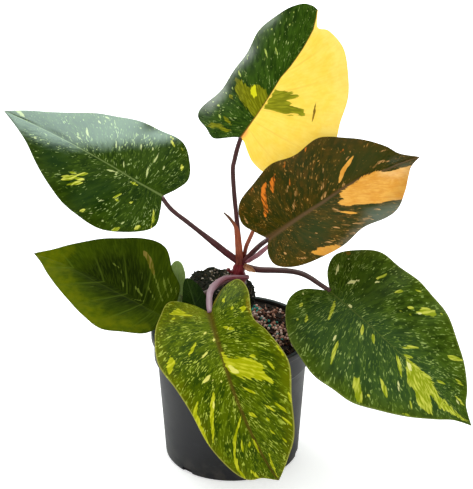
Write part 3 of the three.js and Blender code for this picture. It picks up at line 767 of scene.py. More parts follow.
leafC = {
    "at": (24.5, -36, 182), "heading": 28, "pitch": 29, "roll": 28,
    "length": 131, "droop": 32, "sway": -6, "wave": 0.8,
    "left": {"fold": 11, "curl": -6, "reach": (44, 50, 50, 44, 42, 41, 55, 64, 74, 79)},
    "right": {"fold": 14, "curl": -6, "reach": (48, 53, 51, 46, 41, 40, 53, 60, 69, 78)},
    "sideVeins": 9, "pucker": 0.16,
    "ribBend": ((0, 0), (12, -1), (45, -1.5), (60, 0), (85, 1), (100, -1.5), (131, 0)),
    "patchAreas": [
        [(58, -2), (66, -1), (80, 1), (92, 1), (98, -3), (104, -5), (112, -6), (119, -5), (111, -12),
         (104, -18), (97, -25), (91, -31), (86, -32), (78, -29), (70, -25), (62, -20), (54, -15),
         (52, -9), (57, -8)],
        [(13, -31), (19, -32), (25, -35), (31, -40), (24, -42), (17, -39), (14, -35)],
    ],
    "patchStrokes": [
        ((48, -17), (52, -22), (55, -25), 1.2), ((64, 5), (70, 10), (78, 14), (86, 18), 1.5),
    ],
    "warmStrokes": [
        ((8, 13), (13, 19), (17, 26), (20, 30), (24, 33), 1.9), ((23, 24), (27, 30), (32, 34), 1.5),
        ((13, 34), (16, 36), 0.6), ((10, 13), (14, 20), 0.6), ((60, 37), (63, 40), 0.7),
        ((34, 20), (38, 26), 0.5), ((79, 24), (85, 26), 0.5), ((40, 34), (44, 38), 0.5),
    ],
    "paleStrokes": [
        ((33, 12), (36, 16), 0.9), ((24, 4), (28, 8), (31, 11), 0.8), ((46, 1), (52, 4), 1.1),
        ((50, 6), (55, 11), 0.6), ((92, 4), (100, 6), (107, 4), 0.9), ((64, 1), (67, 3), 0.7),
        ((4, -29), (7, -31), (10, -34), 0.7), ((24, -30), (28, -34), 0.6),
        ((47, -31), (52, -34), (56, -37), 0.8), ((55, -32), (58, -34), 0.7), ((40, -36), (43, -39), 0.9),
        ((58, -33), (60, -37), 0.6), ((46, -11), (48, -16), 0.6), ((33, -14), (34, -15), 0.7),
        ((24, -20), (26, -21), 0.6), ((5, -14), (6, -16), 0.5), ((0, -17), (1, -20), 0.5),
        ((36, -24), (40, -29), 0.5), ((41, -26), (45, -31), 0.5), ((66, -29), (69, -32), 0.6),
        ((-4, 16), (-2, 24), 0.5), ((103, 13), (110, 13), 0.5), ((57, 14), (62, 20), 0.4),
        ((30, 18), (34, 22), 0.4), ((78, 17), (84, 19), 0.4),
    ],
    "plainAreas": [
        [(14, -12), (10, -24), (22, -29), (36, -26), (42, -18), (30, -10)],
        [(58, 4), (66, 14), (84, 24), (104, 20), (118, 8), (100, 1), (76, 2)],
        [(62, -22), (76, -32), (84, -38), (70, -39), (58, -31)],
    ],
    "tintAreas": [[(96, 0), (100, -4), (112, -7), (118, -6), (112, -11), (100, -12), (94, -5)]],
    "waxAreas": [
        [(26, -54), (34, -40), (52, -37), (62, -29), (78, -33), (90, -36), (96, -48), (60, -56)],
        [(108, 3), (124, 1), (140, 0), (128, -12), (112, -6)],
    ],
    "skin": {
        "seed": 3.0, "fleckShare": 0.5, "gloss": 0.03, "rough": (0.36, 0.46), "fleckLength": 7.0,
        "ribWidth": 2.8, "waxy": 0.36, "waxIndex": 1.8, "feather": 0.45,
        "ground": ((38, 41, 0), (63, 53, 0)),
        "layers": [
            ("Streaks Cloud", 0.45, (88, 56, 8)),
            ("Plain", 0.6, (42, 52, 12)),
            ("Veins", 0.15, (92, 72, 24)),
            ("Flecks", 0.5, (110, 84, 28)),
            ("Flecks Bright", 0.55, (192, 140, 66)),
            ("Rib", 0.6, (98, 70, 46)),
            ("Warm", 0.5, (136, 64, 6)),
            ("Warm Lines", 0.8, (222, 122, 30)),
            ("Pale", 0.4, (150, 106, 50)),
            ("Pale Lines", 0.6, (210, 158, 96)),
            ("Patch", 0.95, (212, 148, 52)),
            ("Patch Cloud", 0.5, (228, 176, 82)),
            ("Patch Lines", 0.4, (190, 120, 40)),
            ("Patch Tint", 0.4, (246, 214, 160)),
            ("Edge", 0.25, (80, 56, 8)),
        ],
        "underGround": ((96, 62, 44), (122, 82, 58)),
        "underLayers": [
            ("Patch", 0.85, (212, 158, 96)),
            ("Warm", 0.6, (196, 120, 66)),
            ("Veins", 0.4, (140, 100, 76)),
            ("Rib", 0.85, (112, 70, 58)),
        ],
    },
}

# Leaf D: large green blade with yellow-green patches, lower right

leafD = {
    "at": (66.5, -30, 140), "heading": -32, "pitch": -28, "roll": 31,
    "length": 132, "droop": 19, "sway": -1, "wave": 1.2,
    "left": {"fold": 1, "curl": -12, "reach": (52, 60, 60, 58, 51, 53, 57, 65, 75, 81)},
    "right": {"fold": 6, "curl": -11, "reach": (55, 61, 60, 57, 53, 53, 56, 63, 73, 81)},
    "sideVeins": 9, "pucker": 0.18,
    "patchAreas": [
        [(68, 1), (78, 2), (90, 2), (96, 0), (104, -2), (114, -2), (124, -1), (128, 0), (120, -4),
         (114, -6), (108, -8), (102, -7), (96, -6), (100, -9), (104, -13), (107, -16), (102, -18),
         (96, -17), (88, -13), (80, -11), (76, -7), (72, -3)],
        [(52, -35), (55, -34), (61, -38), (66, -41), (68, -45), (64, -45), (58, -42), (54, -40)],
        [(53, 31), (57, 33), (63, 37), (64, 40), (61, 42), (57, 40), (54, 37)],
    ],
    "patchStrokes": [
        ((20, 40), (19, 35), (17, 30), 0.9), ((33, 31), (36, 36), 0.9), ((46, 29), (50, 32), 1.3),
        ((50, 25), (52, 28), 0.9), ((43, 22), (46, 25), 0.7), ((89, 23), (93, 26), (98, 29), 1.6),
        ((103, 15), (110, 15.5), 0.9), ((93, 4), (100, 7), 0.6), ((110, 6), (119, 6), 0.8),
        ((61, 4), (65, 8), (70, 12), 1.0), ((66, 1), (72, 4), 0.9), ((41, 43), (46, 46), 0.6),
        ((65, 43), (67, 44), 1.0), ((7, -3), (10, -9), (13, -17), 1.2),
        ((32, -3), (34, -6), (36, -9), 1.3), ((41, -3), (46, -8), 1.0),
        ((27, -23), (30, -31), (36, -41), 1.2), ((66, -23), (72, -27), (77, -30), 1.6),
        ((62, -2), (68, -7), (75, -12), 1.2), ((92, -30), (97, -27), 0.8), ((66, -37), (68, -38), 1.0),
        ((-2, -30), (-3, -32), 0.9), ((-8, -20), (-7, -23), 0.8), ((0, -24), (3, -29), 0.9),
        ((90, -20), (95, -24), 0.8),
    ],
    "paleStrokes": [
        ((5, 13), (7, 16), (8, 18), 1.1), ((8, 18), (9, 20), 0.6), ((54, 31), (56, 33), 0.9),
        ((18, 27), (20, 30), 0.6), ((-7, 28), (-6, 27), 0.9), ((15, 1.3), (19, 1.3), 0.8),
        ((75, -16), (77, -18), (80, -21), 0.8), ((71, -1), (77, -4), 1.1), ((-12, -14), (-11, -15), 0.6),
        ((-9, 20), (-5, 12), 0.5), ((112, 5), (116, 4), 0.5), ((24, -22), (25, -26), 0.5),
        ((43, -29), (44, -32), 0.5),
    ],
    "warmStrokes": [((-11, 31), (-8, 32), 1.3)],
    "plainAreas": [[(4, 22), (10, 38), (24, 30), (34, 24), (30, 10), (14, 6)]],
    "tintAreas": [
        [(-6, -34), (20, -44), (50, -44), (80, -36), (110, -18), (126, -2), (110, 6), (90, 14), (60, 16),
         (30, 12), (8, 4), (-4, -10)],
    ],
    "skin": {
        "seed": 4.0, "fleckShare": 0.75, "gloss": 0.045, "rough": (0.4, 0.5), "ribWidth": 0.6,
        "fleckLength": 7.0, "feather": 0.5,
        "ground": ((34, 52, 0), (58, 80, 8)),
        "layers": [
            ("Streaks", 0.35, (74, 98, 20)),
            ("Tint", 0.45, (50, 78, 42)),
            ("Plain", 0.4, (38, 58, 0)),
            ("Veins", 0.15, (88, 112, 40)),
            ("Flecks", 0.5, (98, 124, 40)),
            ("Flecks Bright", 0.55, (164, 184, 100)),
            ("Rib", 0.5, (90, 100, 40)),
            ("Patch", 0.9, (138, 152, 18)),
            ("Patch Lines", 0.7, (206, 208, 84)),
            ("Pale", 0.75, (226, 226, 150)),
            ("Warm", 0.8, (120, 84, 10)),
            ("Edge", 0.2, (92, 108, 16)),
            ("Rim", 0.3, (140, 150, 70)),
        ],
        "underGround": ((68, 92, 34), (98, 122, 56)),
        "underLayers": [
            ("Flecks", 0.35, (150, 168, 86)),
            ("Patch", 0.7, (176, 186, 80)),
            ("Veins", 0.5, (136, 156, 86)),
            ("Rib", 0.85, (138, 98, 78)),
        ],
    },
}

# Leaf E: light green, densely flecked blade that hangs over the pot's front

leafE = {
    "at": (-15, -37.5, 127), "heading": -82, "pitch": -12, "roll": 16,
    "length": 138, "droop": 100, "sway": 14, "wave": 0.8,
    "left": {"fold": 24, "curl": -6, "reach": (59, 63, 51, 36, 38, 47, 51, 63, 75, 86)},
    "right": {"fold": 15, "curl": -1, "reach": (54, 63, 54, 47, 43, 38, 43, 61, 83, 88)},
    "sideVeins": 9, "pucker": 0.18,
    "ribBend": ((0, 0), (10, 0.5), (40, 1), (60, 0), (138, 0)),
    "patchAreas": [
        [(34, 1), (40, 5), (44, 12), (47, 20), (52, 25), (58, 26), (60, 27), (66, 31), (64, 26), (61, 20),
         (58, 14), (55, 8), (51, 3), (46, 1)],
        [(-7, -21), (-4, -18), (-1, -15), (1, -12), (2, -14), (0, -20), (-1, -26), (-3, -28), (-6, -24)],
        [(30, -33), (36, -31), (39, -33), (44, -37), (40, -38), (34, -36)],
    ],
    "patchStrokes": [
        ((12, 24), (15, 27), 2.0), ((8, 17), (9, 18), 1.6), ((19, 8), (22, 12), (24, 16), 1.0),
        ((-5, 12), (-1, 13), 1.0), ((75, 24), (80, 28), (84, 31), 0.9), ((75, 17), (82, 23), 0.8),
        ((62, 7), (68, 14), 0.9), ((86, 26), (92, 30), 0.8), ((79, 5), (83, 9), 1.3),
        ((84, 15), (87, 17), 0.8), ((92, 14), (96, 16), 0.7), ((99, 20), (103, 22), 1.2),
        ((110, 5), (120, 3), (134, 1), 0.8), ((25, -14), (30, -18), (35, -22), 1.1),
        ((60, -13), (68, -17), (80, -22), (90, -26), 1.2),
        ((63, -25), (70, -30), (80, -30), (92, -29), 1.4),
        ((80, -2), (88, -8), (95, -13), (104, -17), (114, -19), (122, -18), 1.1),
        ((97, -1), (108, -1), 0.8), ((97, -3), (103, -6), 0.6), ((95, -8), (106, -12), 0.6),
        ((118, -12), (127, -10), 0.9), ((2, -24), (4, -27), 0.8), ((45, 40), (52, 43), 1.0),
        ((72, 37), (80, 36), 0.9), ((45, 20), (47, 24), 0.7), ((52, 31), (60, 34), 0.7),
    ],
    "paleStrokes": [
        ((46, 3), (50, 6), (53, 9), 1.6), ((32, -7), (35, -11), (37, -14), 0.8),
        ((17, -5), (19, -7), 0.7), ((48, -11), (51, -14), (53, -17), 0.9), ((54, -5), (56, -6), 0.5),
        ((52, -10), (54, -13), 0.5), ((21, 12), (22, 10), 0.5), ((23, -1), (26, -2), 0.5),
        ((66, -15), (70, -17), 0.6),
    ],
    "warmStrokes": [((8, 30), (14, 29), (20, 29), 1.2), ((-16, 13), (-10, 8), (-4, 3), 1.0)],
    "tintAreas": [[(-14, -14), (-8, -24), (-2, -28), (6, -33), (2, -14), (4, -2), (-4, -5)]],
    "skin": {
        "seed": 5.0, "fleckShare": 0.85, "gloss": 0.03, "rough": (0.42, 0.52), "fleckLength": 7.0,
        "ribWidth": 3.2, "feather": 0.5,
        "ground": ((42, 62, 0), (74, 90, 0)),
        "layers": [
            ("Streaks", 0.4, (88, 106, 0)),
            ("Edge", 0.4, (112, 112, 0)),
            ("Tint", 0.6, (130, 128, 0)),
            ("Veins", 0.12, (104, 116, 24)),
            ("Flecks", 0.5, (124, 144, 26)),
            ("Flecks Bright", 0.6, (188, 200, 80)),
            ("Rib", 0.7, (84, 62, 18)),
            ("Patch", 0.9, (158, 164, 4)),
            ("Patch Lines", 0.6, (208, 206, 52)),
            ("Warm", 0.4, (124, 88, 10)),
            ("Pale", 0.75, (232, 226, 116)),
            ("Rim", 0.45, (182, 178, 84)),
        ],
        "underGround": ((84, 108, 36), (112, 136, 56)),
        "underLayers": [
            ("Flecks", 0.35, (160, 176, 86)),
            ("Patch", 0.7, (190, 192, 74)),
            ("Veins", 0.5, (146, 164, 86)),
            ("Rib", 0.85, (150, 110, 86)),
        ],
    },
}

# Leaf F: olive blade seen from below, lower left

leafF = {
    "at": (-44, -15, 112), "heading": 182, "pitch": 37, "roll": 87,
    "length": 116, "droop": 32, "sway": 1, "wave": 0.8,
    "left": {"fold": 19, "curl": 0, "reach": (37, 36, 37, 35, 41, 40, 41, 48, 59, 69)},
    "right": {"fold": 14, "curl": -2, "reach": (34, 37, 38, 37, 39, 38, 40, 48, 60, 70)},
    "sideVeins": 8, "pucker": 0.4,
    "ribBend": ((0, 0), (15, -2), (40, -3), (60, -3), (85, -1), (116, 0)),
    "patchStrokes": [((26, 21), (33, 27), (40, 31), 1.7)],
    "paleStrokes": [
        ((13, 10), (20, 16), (26, 21), 0.4), ((25, 4), (30, 6), (33, 7), 0.6), ((30, 12), (34, 18), 0.35),
        ((10, 8), (14, 11), 0.4), ((55, -6), (60, -10), 0.4), ((50, 13), (56, 14), 0.4),
        ((6, 14), (12, 20), (18, 25), 0.35), ((8, 12), (16, 19), (24, 28), 0.45),
        ((4, 16), (9, 22), 0.35), ((16, 6), (24, 11), (29, 18), 0.3), ((40, 3), (46, 9), (49, 16), 0.3),
        ((20, 2), (30, -2), 0.3),
    ],
    # the tint area along the right margin is painted light: the yellow-olive glow of light shining through
    # the thin blade
    "tintAreas": [
        [(8, -18), (14, -30), (26, -42), (40, -44), (60, -37), (80, -28), (96, -17), (118, -4), (112, 6),
         (100, 12), (90, 13), (92, 2), (80, -9), (58, -20), (36, -26), (20, -20)],
    ],
    "plainAreas": [[(16, 9), (15, -5), (32, -12), (56, -10), (76, -2), (68, 14), (48, 26), (32, 22)]],
    "skin": {
        "seed": 6.0, "fleckShare": 0.3, "gloss": 0.03, "rough": (0.42, 0.54), "fleckLength": 6.0,
        "ground": ((34, 60, 6), (58, 90, 20)),
        "layers": [
            ("Streaks", 0.35, (70, 104, 30)),
            ("Flecks", 0.5, (130, 156, 66)),
            ("Veins", 0.25, (96, 124, 50)),
            ("Patch", 0.8, (150, 140, 60)),
            ("Rib", 0.6, (110, 126, 60)),
        ],
        "underGround": ((42, 58, 0), (54, 70, 0)),
        "underLayers": [
            ("Streaks", 0.2, (66, 82, 0)),
            # painted light: the tint layers lighten the underside where light shines through near the margin
            ("Tint", 0.85, (94, 108, 0)),
            ("Tint Cloud", 0.4, (112, 112, 0)),
            ("Plain", 0.9, (22, 34, 0)),
            ("Lines", 0.16, (88, 108, 20)),
            ("Veins", 0.35, (92, 112, 30)),
            ("Pale", 0.6, (118, 134, 50)),
            ("Patch", 0.75, (100, 96, 20)),
            ("Patch Lines", 0.6, (152, 128, 64)),
            ("Rib", 0.3, (74, 90, 20)),
        ],
    },
}

# The two small young leaves by the plug

leafG = {
    "at": (-36.5, 3, 119), "heading": 180, "pitch": 86, "roll": -78,
    "length": 29, "droop": -6, "sway": 0, "wave": 0,
    "left": {"fold": 12, "curl": 0, "reach": (8, 7, 6, 5.5, 5, 5.5, 7.5, 12, 18, 20)},
    "right": {"fold": 12, "curl": 0, "reach": (8, 7, 6, 5, 4.5, 5, 7, 11.5, 17.5, 20)},
    "sideVeins": 6, "pucker": 0.2,
    "skin": {
        "seed": 7.0, "fleckShare": 0.3, "gloss": 0.1, "rough": (0.45, 0.56), "fleckLength": 5.0,
        "ground": ((130, 156, 78), (158, 180, 108)),
        "layers": [
            ("Flecks", 0.4, (164, 188, 124)),
            ("Veins", 0.3, (150, 176, 110)),
            ("Rib", 0.5, (160, 184, 120)),
        ],
        "underGround": ((138, 164, 86), (166, 188, 116)),
        "underLayers": [("Veins", 0.3, (176, 196, 144)), ("Rib", 0.5, (176, 194, 144))],
    },
}
leafH = {
    "at": (-22.5, -18, 113.5), "heading": 158, "pitch": 72, "roll": -70,
    "length": 30, "droop": 6, "sway": 0, "wave": 0,
    "left": {"fold": 10, "curl": -10, "reach": (8.5, 9, 9.5, 9.5, 9, 9, 10, 12.5, 17, 20)},
    "right": {"fold": 10, "curl": -10, "reach": (8.5, 9, 9.5, 9.5, 9.5, 10, 12, 15.5, 18.5, 20.3)},
    "sideVeins": 6, "pucker": 0.2,
    "skin": {
        "seed": 8.0, "fleckShare": 0.25, "gloss": 0.06, "rough": (0.42, 0.54), "fleckLength": 5.0,
        "ground": ((12, 30, 0), (30, 50, 2)),
        "layers": [
            ("Flecks", 0.4, (96, 120, 60)),
            ("Veins", 0.25, (60, 84, 30)),
            ("Rib", 0.4, (70, 90, 40)),
        ],
        "underGround": ((40, 58, 10), (56, 76, 20)),
        "underLayers": [("Veins", 0.3, (80, 100, 46)), ("Rib", 0.5, (90, 84, 50))],
    },
}

largeBlades = {
    "a": (leafA, "leaf_green"),
    "b": (leafB, "leaf_half_moon"),
    "c": (leafC, "leaf_bronze"),
    "d": (leafD, "leaf_patched"),
    "e": (leafE, "leaf_speckled"),
    "f": (leafF, "leaf_underside"),
}
for letter, (leaf, slotName) in largeBlades.items():
    material = bladeMaterial("skin_" + letter, leaf)
    finishPiece("blade_" + letter, bladeMesh(leaf, "large"), [material], ["leaf_" + letter])
print("six large blades are made")


# Stalks, stem and shoot: a round bar cut into rings and led along its path

def stationFrames(path, steps):
    # points, normals and side directions along the path, turned no more than the path turns
    points = smoothLine(path, np.linspace(0, 1, 40 * len(path)))
    lengths = np.concatenate([[0], np.cumsum(np.linalg.norm(np.diff(points, axis=0), axis=1))])
    even = np.linspace(0, lengths[-1], steps + 1)
    points = np.stack([np.interp(even, lengths, points[:, axis]) for axis in range(3)], axis=1)
    tangents = np.gradient(points, axis=0)
    tangents /= np.linalg.norm(tangents, axis=1)[:, None]
    seed = np.zeros(3)
    seed[np.argmin(np.abs(tangents[0]))] = 1
    across = np.cross(tangents[0], seed)
    normal = np.cross(tangents[0], across / np.linalg.norm(across))
    normals = []
    for tangent in tangents:
        normal = normal - tangent * (normal @ tangent)
        normal = normal / np.linalg.norm(normal)
        normals.append(normal)
    normals = np.array(normals)
    return points, normals, np.cross(tangents, normals)


barShape = {"capInset": 0.3, "capBulge": 0.5, "channelDepth": 0.1, "swelling": 0.015}


def barMesh(path, radii, sides, steps, shape=None):
    # shape changes the radius by share and angle; the bar's two ends stay closed
    bm = bmesh.new()
    bmesh.ops.create_cone(bm, cap_ends=True, segments=sides, radius1=1, radius2=1, depth=1)
    upright = [edge for edge in bm.edges if abs(edge.verts[0].co.z - edge.verts[1].co.z) > 0.5]
    bmesh.ops.subdivide_edges(bm, edges=upright, cuts=steps - 1, use_grid_fill=True)
    for _ in range(2):
        caps = [face for face in bm.faces if len(face.verts) > 4]
        bmesh.ops.inset_region(bm, faces=caps, thickness=barShape["capInset"])
    mesh = meshFrom(bm, "bar")
    places = placesOf(mesh)
    share = np.clip(places[:, 2] + 0.5, 0, 1)
    angle = np.arctan2(places[:, 1], places[:, 0])
    reach = np.hypot(places[:, 0], places[:, 1])
    points, normals, sideways = stationFrames(path, steps)
    station = np.clip(np.round(share * steps).astype(int), 0, steps)
    radius = np.interp(share, np.linspace(0, 1, len(radii)), radii)
    if shape is not None:
        radius = radius * shape(share, angle)
    # the caps bulge a little
    tangents = np.cross(normals, sideways)
    atEnd = np.where(share >= 1, 1, np.where(share <= 0, -1, 0))
    bulge = atEnd * radius * barShape["capBulge"] * np.sqrt(np.clip(1 - reach**2, 0, 1))
    out = normals[station] * np.cos(angle)[:, None] + sideways[station] * np.sin(angle)[:, None]
    moved = points[station] + out * (radius * reach)[:, None] + tangents[station] * bulge[:, None]
    moveTo(mesh, moved * mm)
    giveValues(mesh, "stalk", np.stack([share, angle / np.pi, np.linalg.norm(moved, axis=1) / 10], axis=1))
    return mesh


def stalkMaterial(name, look):
    # colours from the hub to the blade, with lines along the stalk, specks, a painted highlight on the upper
    # side and painted shade on the underside
    material, tree, shader = newMaterial(name, **{"Specular IOR Level": 0.25})
    share, angle, _ = splitVector(tree, valueOf(tree, "stalk", "Vector"))
    place = objectPlace(tree)
    along = addNode(tree, "ShaderNodeCombineXYZ", {0: share, 1: angle, 2: look["seed"]}).outputs[0]
    lines = noiseAt(tree, along, 1, 3, 0.6, (look["length"] / 9, 9, 1))
    blotch = noiseAt(tree, place, 260, 3, 0.55)
    start, end = look.get("turn", (0.0, 0.6))
    colour = blendColour(tree, ease(tree, share, start, end), look["hub"], look["far"])
    if "foot" in look:
        colour = blendColour(tree, ease(tree, share, 0.36, 0.06), colour, look["foot"])
    colour = paintOver(tree, colour, ease(tree, lines, 0.42, 0.66), 0.55, look["line"])
    colour = paintOver(tree, colour, ease(tree, blotch, 0.5, 0.72), 0.4, look["blotch"])
    specks = ease(tree, noiseAt(tree, place, 1500, 2), 0.62, 0.7)
    colour = paintOver(tree, colour, specks, 0.35, look["line"])
    # painted highlight: faces turned up get the top colour; painted shade: faces turned down get the below
    # colour
    up = splitVector(tree, addNode(tree, "ShaderNodeNewGeometry").outputs["Normal"])[2]
    highlightColour = look.get("top", look["line"])
    colour = paintOver(tree, colour, ease(tree, up, 0.1, 0.9), look.get("highlightShare", 0.2), highlightColour)
    below = look.get("below", look["blotch"])
    colour = paintOver(tree, colour, ease(tree, up, 0.0, -0.8), look.get("shade", 0.5), below)
    rough = ease(tree, blotch, 0.3, 0.7, 0.34, 0.5)
    height = calc(tree, "ADD", lines, times(tree, blotch, 0.5))
    feedShader(tree, shader, colour, rough, height, 0.4, 0.2)
    return material


# in each skin, top is the painted highlight colour on the upper side and below the painted shade colour on
# the underside
darkStalk = {"hub": (92, 32, 38), "far": (64, 36, 36), "line": (98, 62, 60), "blotch": (44, 26, 26)}
stalks = {
    "petiole_a": {
        "path": (
            (5, 11, 142.5), (-1.7, 7.5, 149.5), (-6.7, 5, 154.9), (-15, 0.8, 164.2), (-28.5, -5, 178.7),
            (-40.6, -9.6, 191.4), (-46.9, -10.6, 200.8),
        ),
        "radii": (2.5, 2.4, 2.25, 1.7, 1.6, 1.55, 1.5), "slot": "stalk_maroon",
        "skin": {**darkStalk, "seed": 1.0, "length": 80, "top": (140, 110, 112), "highlightShare": 0.3},
    },
    "petiole_b": {
        "path": (
            (6.3, 12, 142), (5.6, 12.6, 149.4), (3.8, 17.5, 167.7), (1.7, 25.5, 186.9),
            (0.7, 32.8, 202.6), (2, 36, 209.5), (3.7, 38.5, 216), (6.1, 40, 223.4),
        ),
        "radii": (2, 1.9, 1.7, 1.6, 1.6, 1.6, 1.6, 1.6), "slot": "stalk_maroon",
        "skin": {**darkStalk, "seed": 2.0, "length": 97, "top": (120, 90, 92)},
    },
    "petiole_c": {
        "path": (
            (8.1, 10, 142.5), (11.8, 5, 149.5), (15.9, -4, 158.7), (20.3, -18, 169.9),
            (24.4, -35.6, 181.4),
        ),
        "radii": (2.1, 1.9, 1.8, 1.7, 1.6), "slot": "stalk_maroon",
        "skin": {**darkStalk, "seed": 3.0, "length": 62, "top": (120, 90, 92)},
    },
    "petiole_d": {
        "path": (
            (9.8, 9.5, 139.5), (18, 5.5, 139.3), (29.7, -2, 142.4), (39, -7.8, 144.6),
            (46.6, -12.8, 145.4), (53, -18, 144.7), (59, -24, 143), (66.2, -29.8, 140.4),
        ),
        "radii": (2.3, 2.2, 2.1, 2, 1.9, 1.8, 1.7, 1.6), "slot": "stalk_mauve",
        "skin": {"hub": (84, 36, 38), "far": (66, 44, 42), "line": (94, 68, 64),
                 "blotch": (50, 30, 28), "top": (132, 104, 104), "highlightShare": 0.35, "below": (48, 26, 24),
                 "seed": 4.0, "length": 72},
    },
    "petiole_e": {
        "path": (
            (8.1, 12, 130.8), (10.6, 8, 132.2), (6.3, 4, 134.1), (0.8, 1, 135.6), (-4.1, -1.5, 136.3),
            (-8.5, -6, 136.1), (-12.2, -12, 135.2), (-14.7, -19, 134), (-15.4, -26, 132.2),
            (-15.3, -32, 129.8), (-14.9, -36.6, 127.5),
        ),
        "radii": (1.7, 1.7, 1.6, 1.6, 1.8, 2.2, 2.5, 2.3, 2.1, 2.1, 1.8), "slot": "stalk_mauve",
        "skin": {"hub": (120, 18, 32), "far": (140, 110, 120), "line": (158, 122, 134),
                 "blotch": (104, 58, 70), "top": (176, 152, 160), "highlightShare": 0.5, "below": (90, 18, 30),
                 "shade": 0.9, "turn": (0.35, 0.85), "seed": 5.0, "length": 60},
    },
    "petiole_f": {
        "path": (
            (2.9, 10, 132.1), (-2.7, 3.5, 132.6), (-9, -3.5, 132.3), (-14.4, -9, 130.5),
            (-20, -11, 128.3), (-32, -13.5, 121.5), (-44, -14.8, 112.4),
        ),
        "radii": (2.2, 1.9, 1.8, 1.7, 1.6, 1.6, 1.5), "slot": "stalk_mauve",
        "skin": {"hub": (108, 44, 50), "far": (86, 68, 62), "line": (106, 86, 80),
                 "blotch": (58, 40, 38), "top": (122, 100, 98), "highlightShare": 0.2, "seed": 6.0, "length": 62},
    },
    "shoot": {
        "path": (
            (7.7, 12, 142), (8.9, 11, 149.4), (10.3, 10.5, 155.7), (13.2, 10, 163), (16.3, 8, 172.1),
            (20, 7, 182),
        ),
        "radii": (1.6, 1.5, 1.5, 1.4, 1.1, 0.35), "slot": "shoot_red",
        "skin": {"hub": (122, 44, 32), "far": (160, 82, 56), "line": (184, 118, 90),
                 "blotch": (104, 40, 32), "top": (190, 130, 110), "highlightShare": 0.25, "foot": (96, 26, 30),
                 "seed": 7.0, "length": 42},
    },
}


def channelled(share, angle):
    # a shallow channel along one side, and slight swellings round the stalk
    channel = barShape["channelDepth"] * np.exp(-((np.abs(angle) - np.pi) ** 2) / 0.2)
    return 1 - channel + barShape["swelling"] * np.sin(34 * share + 2 * angle)


for name, stalk in stalks.items():
    # a ring nearly every millimetre
    steps = max(24, int(stalk["skin"]["length"] * 0.9))
    mesh = barMesh(stalk["path"], stalk["radii"], 20, steps, channelled)
    pieceName = name.replace("petiole", "stalk")
    finishPiece(pieceName, mesh, [stalkMaterial("skin_" + pieceName, stalk["skin"])], [name])
print("stalks and shoot are made")

stemLook = {
    "path": (
        (4, 14, 114), (4, 14, 125), (4, 13, 131), (4.5, 12.3, 135.5), (5.5, 12, 140), (6.3, 12, 147),
    ),
    "radii": (5, 5.6, 6.2, 4.9, 3.6, 2.4),
    "nub": ((2.2, 11, 133.8), (-1, 9, 135.8), (-2.6, 7.9, 138.4)),
    "nubRadii": (1.0, 1.0, 1.3),
    # top is a painted highlight colour on the crown's upper side
    "skin": {"hub": (70, 48, 40), "far": (120, 24, 34), "line": (150, 62, 66), "blotch": (60, 30, 30),
             "top": (150, 60, 66), "highlightShare": 0.2, "turn": (0.3, 0.6), "seed": 9.0, "length": 34},
}


def joinedMesh(meshes):
    bm = bmesh.new()
    for mesh in meshes:
        bm.from_mesh(mesh)
    return meshFrom(bm, "joined")


def nodeRings(share, angle):
    # leaf scars: raised rings round the stem, deeper at the front
    return 1 + 0.05 * np.sin(46 * share + 0.5 * np.sin(angle)) + 0.04 * np.sin(3 * angle + 9 * share)


body = barMesh(stemLook["path"], stemLook["radii"], 40, 60, nodeRings)
nub = barMesh(stemLook["nub"], stemLook["nubRadii"], 14, 12)
crownSkin = stalkMaterial("skin_crown", stemLook["skin"])
finishPiece("crown", joinedMesh([body, nub]), [crownSkin], ["stem"])


# Sheaths and the scale: a strip wrapped part of the way round a stalk

def sheathMesh(look):
    mesh = gridMesh("sheath", look["steps"], 14)
    grid = placesOf(mesh)
    share = (grid[:, 0] + 1) / 2
    across = grid[:, 1]
    points, normals, sideways = stationFrames(look["path"], look["steps"])
    station = np.round(share * look["steps"]).astype(int)
    half = np.interp(share, np.linspace(0, 1, len(look["widths"])), look["widths"])
    bow = half * look["bow"] * (1 - across**2)
    curlIn = look["edgeCurl"] * np.abs(across) ** 5 * half
    crinkle = look["crinkle"] * np.sin(31 * share + 3 * across) * half
    moved = points[station] + normals[station] * (across * half)[:, None]
    moved = moved + sideways[station] * (bow + curlIn + crinkle)[:, None]
    giveValues(mesh, "stalk", np.stack([share, across, 0 * share], axis=1))
    moveTo(mesh, moved * mm)
    return appliedMesh(mesh, "SOLIDIFY", thickness=look["wall"] * mm, offset=0)
